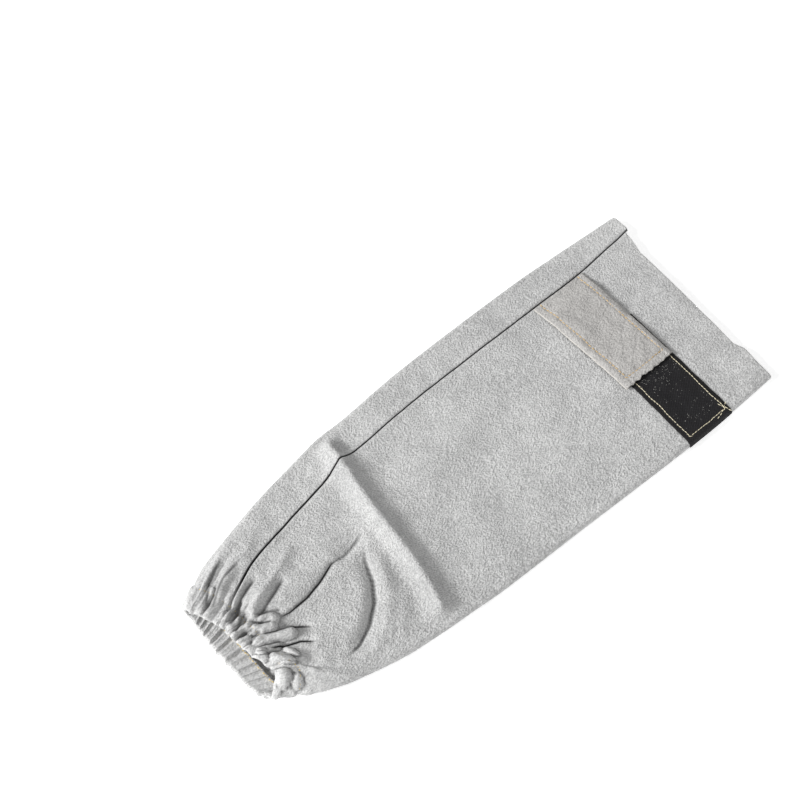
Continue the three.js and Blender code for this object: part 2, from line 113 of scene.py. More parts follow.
def read_smooth(rows, key, column, place):
    """Value of a column on a smooth curve through the table's rows."""
    keys = np.array([row[key] for row in rows], dtype=float)
    values = np.array([row[column] for row in rows], dtype=float)
    last = len(keys) - 1
    before = np.maximum(np.arange(last + 1) - 1, 0)
    after = np.minimum(np.arange(last + 1) + 1, last)
    slope = (values[after] - values[before]) / (keys[after] - keys[before])
    i = np.clip(np.searchsorted(keys, place, side="left") - 1, 0, last - 1)
    span = keys[i + 1] - keys[i]
    t = np.clip((place - keys[i]) / span, 0, 1)
    t2 = t * t
    t3 = t2 * t
    start = (2 * t3 - 3 * t2 + 1) * values[i] + (t3 - 2 * t2 + t) * span * slope[i]
    return start + (3 * t2 - 2 * t3) * values[i + 1] + (t3 - t2) * span * slope[i + 1]


def read_steps(rows, key, column, place):
    """Value of a column on straight lines between the rows."""
    return np.interp(place, [row[key] for row in rows], [row[column] for row in rows])


def ease(value, low, high):
    """A smooth step from 0 at low to 1 at high."""
    t = np.clip((value - low) / (high - low), 0, 1)
    return t * t * (3 - 2 * t)


def section_at(along):
    """Crown, rolled edges and seam line at a distance from the open rim."""
    at = np.clip(along / LENGTH, 0, 1)
    half = WIDTH / 2
    crown = (read_smooth(SECTIONS, "at", "body", at) * BODY_DEPTH
             + read_smooth(SECTIONS, "at", "cuff", at) * CUFF_DEPTH)
    roll = crown * read_smooth(SECTIONS, "at", "side", at) / 2
    seam_side = read_smooth(SECTIONS, "at", "seam_edge", at) * half - roll
    fold_side = -read_smooth(SECTIONS, "at", "fold_edge", at) * half + roll
    seam_line = read_smooth(SECTIONS, "at", "seam_line", at) * half
    return crown, roll, seam_side, fold_side, seam_line


# %% [markdown]
# ## Folds
# A fold is a rise that follows a path over the top layer. Soft folds have round crests and a creased one has
# a sharp crest or a sharp valley, so each row says how pointed it is and how far it spreads on either side:
# towards the open end and towards the cuff. A ramp runs straight down on both sides. Some creases get a
# near-black painted shade line along them: the row says how dark it is, and broad widens that line.

# %% Folds of the top layer: rise in mm, spread in mm on each side, path in shares
SOFT, FIRM, SHARP = 2.0, 1.4, 1.0
FOLDS = [
    dict(name="forearm_fold", rise=10.6, body=13.5, cuff=13.0, peak=SHARP, ramp=True, ends=0.0, path=[
        (0.637, 0.90), (0.643, 0.82), (0.650, 0.62), (0.657, 0.40), (0.663, 0.20), (0.667, 0.00),
        (0.670, -0.21), (0.675, -0.43), (0.681, -0.61), (0.690, -0.78), (0.695, -0.90)]),
    dict(name="hollow_before_fold", rise=-1.2, body=14, cuff=14, peak=SOFT, ends=0.2, path=[
        (0.590, 0.60), (0.600, 0.10), (0.615, -0.60)]),
    dict(name="bank_behind_fold", rise=2.0, body=8, cuff=10, peak=SOFT, ends=0.25, path=[
        (0.690, 0.30), (0.699, 0.05), (0.712, -0.12), (0.728, -0.30), (0.742, -0.50)]),
    dict(name="wrist_crease", rise=-3.2, body=1.5, cuff=1.5, peak=SHARP, ends=0.2, line_shade=1.0, path=[
        (0.745, 0.004), (0.773, 0.008), (0.805, -0.055), (0.839, -0.098), (0.875, -0.114), (0.899, -0.102)]),
    dict(name="wrist_crease_start", rise=-2.6, body=4.2, cuff=4.2, peak=SOFT, ends=0.3, path=[
        (0.700, 0.075), (0.720, 0.035), (0.745, 0.006), (0.770, 0.004)]),
    dict(name="wrist_crease_bank", rise=1.3, body=9, cuff=9, peak=SOFT, ends=0.25, path=[
        (0.735, 0.10), (0.780, 0.085), (0.830, 0.02), (0.872, -0.03), (0.900, -0.03)]),
    dict(name="curved_valley", rise=-4.6, body=1.5, cuff=5.0, peak=FIRM, ends=0.25,
         line_shade=0.55, broad=2.2, path=[
             (0.708, 0.025), (0.720, -0.06), (0.732, -0.15), (0.744, -0.31), (0.762, -0.44),
             (0.792, -0.56), (0.825, -0.64), (0.860, -0.67)]),
    dict(name="curved_ridge", rise=2.6, body=6.5, cuff=4.2, peak=SOFT, ends=0.2, path=[
        (0.700, -0.10), (0.716, -0.24), (0.729, -0.40), (0.747, -0.54), (0.778, -0.67),
        (0.815, -0.75), (0.860, -0.77)]),
    dict(name="curved_inner_bank", rise=1.1, body=3.6, cuff=6.0, peak=SOFT, ends=0.2, path=[
        (0.745, -0.12), (0.757, -0.26), (0.774, -0.38), (0.800, -0.49), (0.835, -0.56)]),
    dict(name="outer_ripple", rise=1.5, body=5, cuff=5, peak=SOFT, ends=0.3, path=[
        (0.712, -0.50), (0.735, -0.66), (0.775, -0.80)]),
    dict(name="seam_finger", rise=3.6, body=4.2, cuff=4.2, peak=FIRM, ends=0.22, path=[
        (0.792, 0.335), (0.829, 0.255), (0.866, 0.175), (0.905, 0.105), (0.935, 0.050)]),
    dict(name="finger_crease", rise=-3.8, body=2.6, cuff=2.6, peak=SHARP, ends=0.2, path=[
        (0.840, 0.155), (0.862, 0.110), (0.885, 0.060), (0.925, -0.020)]),
    dict(name="seam_groove", rise=-4.2, body=2.8, cuff=2.8, peak=SHARP, ends=0.2, path=[
        (0.870, 0.290), (0.899, 0.245), (0.920, 0.195), (0.937, 0.150), (0.962, 0.090)]),
    dict(name="strip_finger", rise=2.6, body=4.5, cuff=4.5, peak=SOFT, ends=0.22, path=[
        (0.825, 0.56), (0.880, 0.47), (0.930, 0.385), (0.965, 0.300)]),
    dict(name="strip_groove_outer", rise=-3.6, body=2.8, cuff=2.8, peak=SHARP, ends=0.2, path=[
        (0.892, 0.585), (0.920, 0.520), (0.942, 0.455), (0.957, 0.370), (0.976, 0.260)]),
    dict(name="strip_groove_inner", rise=-3.4, body=3.0, cuff=3.0, peak=SHARP, ends=0.2, path=[
        (0.870, 0.480), (0.900, 0.440), (0.921, 0.410), (0.947, 0.330), (0.970, 0.235)]),
    dict(name="lump_crease_upper", rise=-3.4, body=2.4, cuff=2.4, peak=SHARP, ends=0.18, line_shade=0.9, path=[
        (0.858, -0.325), (0.875, -0.258), (0.889, -0.215), (0.913, -0.190), (0.939, -0.135)]),
    dict(name="lump_crease_lower", rise=-3.6, body=2.6, cuff=2.6, peak=SHARP, ends=0.18, line_shade=1.0, path=[
        (0.870, -0.440), (0.880, -0.395), (0.892, -0.350), (0.914, -0.315), (0.940, -0.270)]),
    dict(name="lip_groove_1", rise=-3.4, body=1.9, cuff=1.9, peak=SHARP, ends=0.15, path=[
        (0.918, 0.190), (0.931, 0.158), (0.950, 0.087), (0.963, 0.052)]),
    dict(name="lip_groove_2", rise=-3.4, body=1.9, cuff=1.9, peak=SHARP, ends=0.15, path=[
        (0.925, 0.100), (0.936, 0.071), (0.952, 0.016), (0.965, -0.012)]),
    dict(name="lip_groove_3", rise=-3.0, body=1.7, cuff=1.7, peak=SHARP, ends=0.15, path=[
        (0.962, -0.055), (0.948, -0.062), (0.938, -0.080)]),
    dict(name="lip_groove_4", rise=-3.2, body=1.8, cuff=1.8, peak=SHARP, ends=0.15, path=[
        (0.960, -0.150), (0.944, -0.135), (0.930, -0.115)]),
    dict(name="knuckle_edge", rise=-3.0, body=1.8, cuff=1.8, peak=SHARP, ends=0.2, path=[
        (0.922, 0.040), (0.914, 0.010), (0.901, -0.001), (0.881, -0.060)]),
    dict(name="knuckle_gap", rise=-3.2, body=1.8, cuff=1.8, peak=SHARP, ends=0.2, line_shade=0.6, path=[
        (0.936, -0.010), (0.922, -0.060), (0.906, -0.110)]),
    dict(name="roll_gap", rise=-3.0, body=1.7, cuff=1.7, peak=SHARP, ends=0.2, line_shade=0.5, path=[
        (0.956, -0.200), (0.934, -0.240), (0.914, -0.275)]),
    dict(name="behind_balls", rise=-2.0, body=6, cuff=5, peak=SOFT, ends=0.3, path=[
        (0.885, -0.430), (0.900, -0.520), (0.926, -0.610)]),
]
# creases that get a near-black painted shade line
SHADE_LINE_CREASES = [fold["name"] for fold in FOLDS if fold.get("line_shade")]

# Puckers of the strip beyond the seam: how far each sinks, its size across and along, in mm
PUCKERS = table(
    "along across sink length width",
    (0.627, 0.80, 3.4, 12, 8),
    (0.593, 0.76, 0.8, 9, 6),
    (0.471, 0.86, 1.2, 8, 5),
    (0.436, 0.82, 1.3, 11, 3),
    (0.392, 0.80, 0.8, 8, 4),
    (0.350, 0.86, 0.6, 9, 6),
    (0.265, 0.85, 0.7, 10, 7),
    (0.735, 0.70, 0.9, 14, 5),
    (0.790, 0.62, 1.1, 14, 5))
print(len(FOLDS), "folds,", len(PUCKERS), "puckers")

# %% Lumps of slack hide beside the mouth: radius and height in mm, places in shares
# On the top layer they are round-topped ridges that press on each other
LUMPS = [
    dict(name="knuckle", radius=6.4, height=5.4, path=[(0.914, -0.062), (0.903, -0.082)]),
    dict(name="upper_roll", radius=5.6, height=5.8, path=[
        (0.940, -0.045), (0.930, -0.095), (0.914, -0.135)]),
    dict(name="middle_roll", radius=5.6, height=5.8, path=[
        (0.944, -0.165), (0.918, -0.212), (0.896, -0.258)]),
    dict(name="lower_roll", radius=5.0, height=5.4, path=[(0.950, -0.235), (0.926, -0.270)]),
    dict(name="lip_bump_1", radius=4.6, height=4.2, path=[(0.958, 0.150), (0.950, 0.135)]),
    dict(name="lip_bump_2", radius=4.4, height=4.4, path=[(0.961, 0.058), (0.945, 0.060)]),
    dict(name="lip_bump_3", radius=4.6, height=4.6, path=[(0.970, -0.012), (0.953, 0.000)]),
    dict(name="lip_bump_4", radius=4.6, height=4.4, path=[(0.968, -0.102), (0.956, -0.112)]),
    dict(name="lip_bump_5", radius=4.4, height=4.4, path=[(0.966, -0.182), (0.960, -0.188)]),
    dict(name="lip_bump_6", radius=4.8, height=4.8, path=[(0.962, -0.275), (0.954, -0.290)]),
    dict(name="strip_lump_1", radius=5.2, height=3.0, path=[(0.980, 0.330), (0.950, 0.400)]),
    dict(name="strip_lump_2", radius=4.8, height=2.8, path=[(0.982, 0.420), (0.955, 0.490)]),
]
# Round the corners of the mouth they are balls, each at a place along and a place round the ring
CORNER_LUMPS = [
    dict(name="big_ball", radius=9.4, height=8.4, at=(0.970, 3.83)),
    dict(name="ball_lobe", radius=6.2, height=4.6, at=(0.942, 3.76)),
    dict(name="ball_before", radius=4.6, height=4.0, at=(0.986, 3.66)),
    dict(name="corner_ball", radius=6.4, height=5.6, at=(0.989, 4.15)),
    dict(name="corner_behind", radius=5.0, height=3.8, at=(0.968, 4.26)),
    dict(name="corner_ball_under", radius=4.6, height=3.2, at=(0.998, 4.40)),
    dict(name="corner_low", radius=4.4, height=1.4, at=(0.972, 4.62)),
    dict(name="corner_back", radius=4.6, height=1.2, at=(0.950, 4.52)),
    dict(name="seam_corner_1", radius=6.4, height=1.8, at=(0.990, 0.86)),
    dict(name="seam_corner_2", radius=5.8, height=1.5, at=(0.992, 0.45)),
    dict(name="seam_corner_3", radius=5.8, height=1.5, at=(0.975, 0.62)),
]
LUMP_LEAN = 0.25        # how far these lean out over the mouth, as a share of their height
DOME_POWER = 0.55       # a half-circle would be 0.5; this keeps the lumps' sides off the vertical


def dome(distance, lump):
    """Height of a round-topped lump at a distance from its middle."""
    return lump["height"] * np.clip(1 - (distance / lump["radius"]) ** 2, 0, 1) ** DOME_POWER


print(len(LUMPS), "lumps on top,", len(CORNER_LUMPS), "round the corners")

# %% Rise of the folds and lumps over the smooth top layer
FOLD_FALL = 0.7         # how fast a fold's sides fall away over its spread
FOOT_ROUNDING = 0.08    # how softly the straight slopes of the main fold run out


def place_on_path(along, y, path):
    """Distance in mm from a path, on which side, and how far along it, from 0 to 1."""
    nodes = np.array(path) * (LENGTH, WIDTH / 2)
    runs = np.linalg.norm(np.diff(nodes, axis=0), axis=1)
    before = np.concatenate([[0], np.cumsum(runs)])
    best = np.full(np.shape(along), np.inf)
    side = np.ones(np.shape(along))
    where = np.zeros(np.shape(along))
    for i, (start, end) in enumerate(zip(nodes[:-1], nodes[1:])):
        step = end - start
        away = (along - start[0], y - start[1])
        t = np.clip((away[0] * step[0] + away[1] * step[1]) / runs[i] ** 2, 0, 1)
        distance = np.hypot(away[0] - t * step[0], away[1] - t * step[1])
        nearer = distance < best
        best = np.where(nearer, distance, best)
        turn = step[0] * away[1] - step[1] * away[0]
        side = np.where(nearer, np.sign(turn), side)
        where = np.where(nearer, (before[i] + t * runs[i]) / before[-1], where)
    return best, side, where


def lump_rise(along, y):
    """Height of the lumps: the highest of them at each place, so that they meet in tight valleys."""
    rise = np.zeros(np.shape(along))
    for lump in LUMPS:
        distance, _, _ = place_on_path(along, y, lump["path"])
        rise = np.maximum(rise, dome(distance, lump))
    return rise


def fold_rise(along, y):
    """Rise of all folds and lumps over the smooth top layer."""
    rise = np.zeros(np.shape(along))
    for fold in FOLDS:
        distance, side, where = place_on_path(along, y, fold["path"])
        spread = np.where(side > 0, fold["cuff"], fold["body"])
        shape = np.exp(-FOLD_FALL * (distance / spread) ** fold["peak"])
        if fold.get("ramp"):
            left = 1 - distance / spread
            shape = (left + np.sqrt(left ** 2 + FOOT_ROUNDING)) / 2
        if fold["ends"] > 0:
            shape = shape * ease(where, 0, fold["ends"]) * ease(1 - where, 0, fold["ends"])
        rise = rise + fold["rise"] * shape
    for dent in PUCKERS:
        near = ((along - dent["along"] * LENGTH) / dent["width"]) ** 2
        near = near + ((y - dent["across"] * WIDTH / 2) / dent["length"]) ** 2
        rise = rise - dent["sink"] * np.exp(-FOLD_FALL * near)
    return rise + lump_rise(along, y)


fold_top = float(fold_rise(np.array(0.667 * LENGTH), np.array(0.0)))
print("rise of the main fold at its middle, mm:", round(fold_top, 1))

# %% [markdown]
# ## Ruffles
# Elastic draws the hide together, so it stands in ridges with round crests and tight valleys.
# They are finest at the stitching and join in pairs as they run up the sleeve. Thin hide on
# the floor side makes small even ones, and the slack hide of the top makes fat lumps. The
# table gives their pitch round the cuff, and one seeded curve makes them uneven.

# %% Ruffles round the cuff
ZONES = ["seam_roll", "strip", "seam", "top", "fold_roll", "floor"]
RUFFLES = table(
    "around pitch height reach",
    (0.0, 5.8, 1.70, 24), (1.0, 7.5, 1.50, 32),
    (2.0, 8.5, 1.60, 32), (3.0, 8.0, 1.80, 30),
    (3.3, 8.5, 1.40, 20), (3.6, 9.0, 0.90, 12),
    (3.9, 8.0, 1.00, 12), (4.2, 7.5, 1.60, 14),
    (5.0, 7.0, 1.90, 26), (5.5, 6.4, 2.00, 26),
    (6.0, 5.8, 1.70, 24))
rng = np.random.default_rng(41)
WOBBLE_TURNS = np.arange(2, 12)
WOBBLE_PHASE = rng.uniform(0, 2 * np.pi, len(WOBBLE_TURNS))
WOBBLE_SIZE = rng.uniform(0.4, 1.0, len(WOBBLE_TURNS)) / np.sqrt(len(WOBBLE_TURNS))
PLACES_ROUND = 1201     # places round the cuff at which the ruffles passed are counted
SEAM_ROUND = 3.0        # length in mm that the seam takes up there
GROUP = 4               # ruffles join in groups of four, so their number divides by it


def wobble(around, shift):
    """An uneven curve round the ring, between about -1 and 1, that closes on itself."""
    angle = np.asarray(around)[..., None] * 2 * np.pi / len(ZONES)
    waves = np.sin(angle * WOBBLE_TURNS + WOBBLE_PHASE * (1 + shift))
    return (waves * WOBBLE_SIZE).sum(-1)


def count_ruffles():
    """Ruffles passed and mm covered at places round the cuff, and the number of ruffles."""
    _, roll, seam_side, fold_side, seam_line = (float(v) for v in section_at(CASING_START))
    lengths = [math.pi * roll, seam_side - seam_line, SEAM_ROUND, seam_line - fold_side,
               math.pi * roll, seam_side - fold_side]
    around = np.linspace(0, len(ZONES), PLACES_ROUND)
    middle = (around[1:] + around[:-1]) / 2
    steps = np.array(lengths)[np.minimum(middle.astype(int), len(ZONES) - 1)] * np.diff(around)
    ruffles = steps / read_steps(RUFFLES, "around", "pitch", middle)
    phase = np.concatenate([[0], np.cumsum(ruffles)])
    length = np.concatenate([[0], np.cumsum(steps)])
    count = GROUP * round(phase[-1] / GROUP)
    return around, phase * count / phase[-1], length, count


RUFFLE_AROUND, RUFFLE_PHASE, RUFFLE_LENGTH, RUFFLE_COUNT = count_ruffles()
print("ruffles round the cuff:", RUFFLE_COUNT)

# %% Lumps measured round the ring
def ring_place(around):
    """Distance in mm round the cuff, from where the ring starts."""
    zone_starts = np.arange(len(ZONES) + 1)
    return np.interp(around, zone_starts, np.interp(zone_starts, RUFFLE_AROUND, RUFFLE_LENGTH))


def from_lump(along, around, lump):
    """Distance in mm from the middle of a lump, over the skin."""
    place = (lump["at"][0] * LENGTH, ring_place(lump["at"][1]))
    return np.hypot(along - place[0], ring_place(around) - place[1])


def corner_rise(along, around):
    """Height of the lumps round the corners of the mouth, along the skin's own direction."""
    rise = np.zeros(np.shape(along))
    for lump in CORNER_LUMPS:
        rise = np.maximum(rise, dome(from_lump(along, around, lump), lump))
    return rise


print("length round the cuff, mm:", round(float(ring_place(len(ZONES))), 1))

# %% Height of the ruffles
PUFF_RISE = 0.5         # how far the casing swells between the stitching and the rim
PUFF_POWER = 0.8        # under 1 makes the swelling flat-topped
STITCH_SINK = 0.6       # how far the casing's stitching draws the hide in
STITCH_SPREAD = 1.8     # how far to either side it does so
CREST_POWER = 0.6       # under 1 makes crests round and valleys tight
PHASE_WOBBLE = 0.60     # how uneven the ruffles are: in pitch, in ruffles
SIZE_WOBBLE = 0.35      # in height, as a share of it
REACH_WOBBLE = 0.45     # in reach, as a share of it

# The finest ruffles, the pairs that they join in, and the pairs of pairs: where they are
# highest in mm above the casing, their spread as a share of the reach, and how fast they end
JOINED = [
    dict(ruffles=1, shift=0.00, height=1.00, at=0, spread=0.45, ending=1.6),
    dict(ruffles=2, shift=0.25, height=1.25, at=14, spread=0.62, ending=2.0),
    dict(ruffles=4, shift=0.10, height=1.00, at=34, spread=1.00, ending=2.0),
]


def ridge(phase):
    """Round crests and tight valleys, from -1 to 1."""
    return 2 * np.abs(np.sin(np.pi * phase)) ** CREST_POWER - 1


def ruffles_passed(around):
    """Number of ruffles passed at a place round the ring, made uneven."""
    return np.interp(around, RUFFLE_AROUND, RUFFLE_PHASE) + PHASE_WOBBLE * wobble(around, 0)


def ruffle_height(along, around):
    """Height of the ruffles at a place on the skin, in mm, with the pull of the stitching."""
    size = read_steps(RUFFLES, "around", "height", around) * (1 + SIZE_WOBBLE * wobble(around, 1))
    reach = read_steps(RUFFLES, "around", "reach", around) * (1 + REACH_WOBBLE * wobble(around, 2))
    above = np.maximum(CASING_START - along, 0)
    height = 0
    for row in JOINED:
        crests = ridge(ruffles_passed(around) / row["ruffles"] + row["shift"])
        away = np.abs(above - row["at"]) / (row["spread"] * reach)
        height = height + crests * row["height"] * size * np.exp(-away ** row["ending"])
    within = np.clip((along - CASING_START) / CASING, 0, 1)
    puff = PUFF_RISE * np.sin(np.pi * within) ** PUFF_POWER
    pull = STITCH_SINK * np.exp(-((along - CASING_START) / STITCH_SPREAD) ** 2)
    return height + puff - pull


crest = float(ruffle_height(np.array(CASING_START - 2.0), np.linspace(5, 6, 200)).max())
print("highest ruffle on the floor side, mm:", round(crest, 2))

# %% [markdown]
# ## One skin for everything
# Every leather, tape and thread of the sleeve lies on the same skin. A place on it is a
# distance along the sleeve and a place round the ring, counted in zones. Being one function,
# it keeps the tapes on the hide wherever the hide goes.

# %% Rims, the seam's groove and the skin function
OPEN_RIM = table(
    "around reach",
    (0.00, 0.30), (1.00, 1.00), (2.80, 0.90), (3.04, 0.50), (3.09, 0.28), (3.13, 0.06),
    (3.22, 0.08), (3.38, -0.04), (3.50, -0.08), (3.62, -0.20), (3.78, -0.32), (3.84, 0.08),
    (3.92, -0.06), (4.00, -0.12), (5.00, 0.02), (5.50, 0.20), (6.00, 0.30))
CUFF_LIP = table(
    "around reach",
    (0.00, 0.18), (0.50, 0.16), (1.00, 0.16), (1.25, 0.32), (1.55, 0.44), (2.00, 0.55),
    (3.10, 0.64), (3.25, 0.62), (3.50, 0.68), (3.70, 0.77), (3.85, 0.92), (3.98, 1.02),
    (4.15, 0.90), (4.40, 0.56), (4.65, 0.36), (5.00, 0.22), (5.15, 0.14), (5.80, 0.12),
    (6.00, 0.18))
SEAM_HALF_WIDTH = 1.4    # half of the zone that holds the seam
SEAM_SINK = 2.0          # depth of the seam's slit
SEAM_SLIT = 0.55         # half-width of the slit
SEAM_BANK = 0.7          # how far the hide swells beside the seam
SEAM_BANK_AT = 2.4       # from the seam to the top of that swelling
SEAM_BANK_WIDTH = 3.5
RUFFLED_SPAN = (0.66, 0.86)   # shares of the length over which ruffles begin to show
SCALLOP = dict(top=1.0, below=0.6)    # share of SCALLOP_SHARE on the top layer and elsewhere
SCALLOP_SHARE = 0.60     # how far a ruffle's crest pushes the rim out, as a share of its height
FLOOR_PRESS = 0.85       # what the hide's weight leaves of a ruffle on the floor side
LIFT_SHARE = 0.45        # share of the ruffles' rise by which they lift the cuff off the floor
OUTER_CLEARANCE = 0.02   # from the floor to the hide's outer face
INNER_CLEARANCE = 0.35   # from the floor to anything inside it

# Slow uneven waves of the top layer: height and size in mm, and the share of the half width
# over which they die out at the edges
SWELLS = [
    dict(height=0.55, size=70, fade=0.10, seed=5, at_rim=False),
    dict(height=0.22, size=17, fade=0.10, seed=6, at_rim=False),
    dict(height=1.10, size=42, fade=0.20, seed=7, at_rim=True),
]
WAVES = 9                # waves that make up such a swell

sleeve_high = np.array(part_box("sleeve_panel")[1]) / MM
widest_edge = max(row["seam_edge"] for row in SECTIONS) * WIDTH / 2
ORIGIN = np.array([sleeve_high[0] - RIM_STEP, sleeve_high[1] - widest_edge, 0.0])
print("middle of the open rim, mm:", ORIGIN.round(1).tolist())

# %% Uneven waves over a plane
def unevenness(x, y, size, seed):
    """Slow uneven waves over a plane, between about -1 and 1, with a size in mm."""
    draw = np.random.default_rng(seed)
    total = 0
    for _ in range(WAVES):
        heading = draw.uniform(0, 2 * np.pi)
        turns = draw.uniform(0.6, 1.6) / size
        total = total + np.sin(2 * np.pi * turns * (x * np.cos(heading) + y * np.sin(heading))
                               + draw.uniform(0, 2 * np.pi))
    return total / (WAVES / 2)


def over_length(along, span):
    """A smooth step from 0 to 1 between two shares of the length."""
    return ease(along, span[0] * LENGTH, span[1] * LENGTH)


def top_rise(x, y, seam_line, across, opened):
    """Rise of the top layer: its folds, its swells, and the banks and the slit of the seam."""
    edge = 1 - np.abs(across)
    rise = fold_rise(-x, y) * ease(edge, 0, EDGE_FADE)
    for swell in SWELLS:
        height = opened * swell["height"] if swell["at_rim"] else swell["height"]
        waves = unevenness(x, y, swell["size"], swell["seed"])
        rise = rise + height * waves * ease(edge, 0, swell["fade"])
    from_seam = np.abs(y - seam_line)
    rise = rise + SEAM_BANK * np.exp(-((from_seam - SEAM_BANK_AT) / SEAM_BANK_WIDTH) ** 2)
    return rise - SEAM_SINK * np.exp(-(from_seam / SEAM_SLIT))


# %% The skin function
def skin(along, around, sunk=0.0, ruffled=1.0):
    """Points of the sleeve in mm, and the direction out of the hide, for places on the skin."""
    along, around, sunk = np.broadcast_arrays(
        np.asarray(along, float), np.asarray(around, float) % len(ZONES), np.asarray(sunk, float))
    crown, roll, seam_side, fold_side, seam_line = section_at(along)
    zone = np.minimum(around.astype(int), len(ZONES) - 1)
    share = around - zone
    rolled = (zone == 0) | (zone == 4)
    floor = zone == 5
    top = ~rolled & ~floor

    angle = np.where(zone == 0, -0.5, 0.5) * np.pi + share * np.pi
    strip_y = seam_side + (seam_line + SEAM_HALF_WIDTH - seam_side) * share
    seam_y = seam_line + SEAM_HALF_WIDTH * (1 - 2 * share)
    top_y = seam_line - SEAM_HALF_WIDTH + (fold_side - seam_line + SEAM_HALF_WIDTH) * share
    roll_y = np.where(zone == 0, seam_side, fold_side) + roll * np.cos(angle)
    floor_y = fold_side + (seam_side - fold_side) * share
    y = np.select([zone == 1, zone == 2, zone == 3, rolled], [strip_y, seam_y, top_y, roll_y],
                  floor_y)
    across = (y - (seam_side + fold_side) / 2) / ((seam_side - fold_side) / 2)
    z = np.select([rolled, floor], [roll + roll * np.sin(angle), 0.0 * along],
                  2 * roll + (crown - 2 * roll) * (1 - across ** 2))
    normal_y = np.select([rolled, floor], [np.cos(angle), 0.0 * along], 0.0)
    normal_z = np.select([rolled, floor], [np.sin(angle), -1.0 + 0 * along], 1.0)

    opened = 1 - ease(along, 0, RIM_FADE)
    gathered = ease(along, CASING_START - GATHER_REACH, TURN_START)
    ruffle = np.where(ruffled > 0, ruffle_height(along, around), 0)
    ruffle = ruffle * over_length(along, RUFFLED_SPAN)
    corner = np.where(ruffled > 0, corner_rise(along, around), 0)
    scallop = SCALLOP_SHARE * ease(along, CASING_START, LENGTH)
    scallop = scallop * np.where(top, SCALLOP["top"], SCALLOP["below"])
    x = (-along + opened * RIM_STEP * read_steps(OPEN_RIM, "around", "reach", around)
         + gathered * LIP_SETBACK * read_steps(CUFF_LIP, "around", "reach", around)
         - scallop * ruffle)
    z = z + np.where(top, top_rise(x, y, seam_line, across, opened), 0)

    lift = PLEAT_RISE * LIFT_SHARE * ease(along, CASING_START - GATHER_REACH, CASING_START)
    out = ruffle * np.where(floor, FLOOR_PRESS, 1.0) + corner - sunk
    height = z + normal_z * out + lift
    lowest = np.where(sunk > HIDE / 2, INNER_CLEARANCE, OUTER_CLEARANCE)
    points = np.stack([x - LUMP_LEAN * corner, y + normal_y * out, np.maximum(height, lowest)], -1)
    normals = np.stack([0 * x, normal_y, normal_z], -1)
    return points + ORIGIN, normals


probe, _ = skin(np.array([0.0, LENGTH * 0.66]), np.array([3.4, 3.4]))
print("skin at the rim and at the fold:", probe.round(1).tolist())

# %% [markdown]
# ## Meshes from grids
# A wall of hide is a closed loop of places along the sleeve, swept round the ring. Swept that
# way, the outer face, the turned hem and the inner face are one closed surface.

# %% Turn grids of points into meshes
def mesh_object(name, points, quads, attributes=None):
    """A smooth mesh piece with faces that point out, from points in mm."""
    mesh = bpy.data.meshes.new(name)
    mesh.from_pydata((np.asarray(points).reshape(-1, 3) * MM).tolist(), [], quads.tolist())
    mesh.update()
    for label, values in (attributes or {}).items():
        layer = mesh.attributes.new(label, "FLOAT", "POINT")
        layer.data.foreach_set("value", np.ascontiguousarray(values, dtype=np.float32).ravel())
    mesh.shade_smooth()
    piece = bpy.data.objects.new(name, mesh)
    bpy.context.scene.collection.objects.link(piece)
    return piece


def signed_volume(points, quads):
    """Six times the volume inside the quads, positive when they point out."""
    p = np.asarray(points).reshape(-1, 3)
    a, b, c, d = (p[quads[:, k]] for k in range(4))
    return float((a * np.cross(b, c)).sum() + (a * np.cross(c, d)).sum())


def outward(points, quads):
    """The quads, turned over if they point in."""
    return quads if signed_volume(points, quads) > 0 else quads[:, ::-1]


def ring_quads(rows, columns, closed_rows=True):
    """Quads of a grid that closes round its columns, and round its rows too if asked."""
    r = np.arange(rows if closed_rows else rows - 1)[:, None]
    c = np.arange(columns)[None, :]
    nxt_r, nxt_c = (r + 1) % rows, (c + 1) % columns
    corners = [r * columns + c, r * columns + nxt_c, nxt_r * columns + nxt_c, nxt_r * columns + c]
    return np.stack([np.broadcast_to(k, (len(r), columns)) for k in corners], -1).reshape(-1, 4)


# %% Columns round the ring and stations along the wall
COLUMNS = dict(seam_roll=18, strip=32, seam=12, top=124, fold_roll=18, floor=114)
AROUND = np.concatenate([
    i + np.arange(COLUMNS[name]) / COLUMNS[name] for i, name in enumerate(ZONES)])
RAW_EDGE_AT = 0.35       # from the open rim to where the hide has its full thickness
RAW_EDGE_ROUND = 0.45    # how far its raw edge is rounded into that thickness
TURN_STEPS = 6           # steps round the turned rim of the cuff
HEM_STEP = 1.6


def stations(*spans):
    """Places along the sleeve, from spans of start, end and step in mm."""
    runs = [np.arange(start, end, step) for start, end, step in spans]
    return np.concatenate(runs + [[spans[-1][1]]])


OUTER = stations((1.2, 316, 5.6), (316, 362, 2.3), (362, 436, 2.0), (436, TURN_START, 1.6))
INNER = stations((1.2, 316, 12), (316, 362, 4), (362, 436, 3), (436, CASING_START, 2.4))
HEM = stations((CASING_START + 1.2, TURN_START, HEM_STEP))


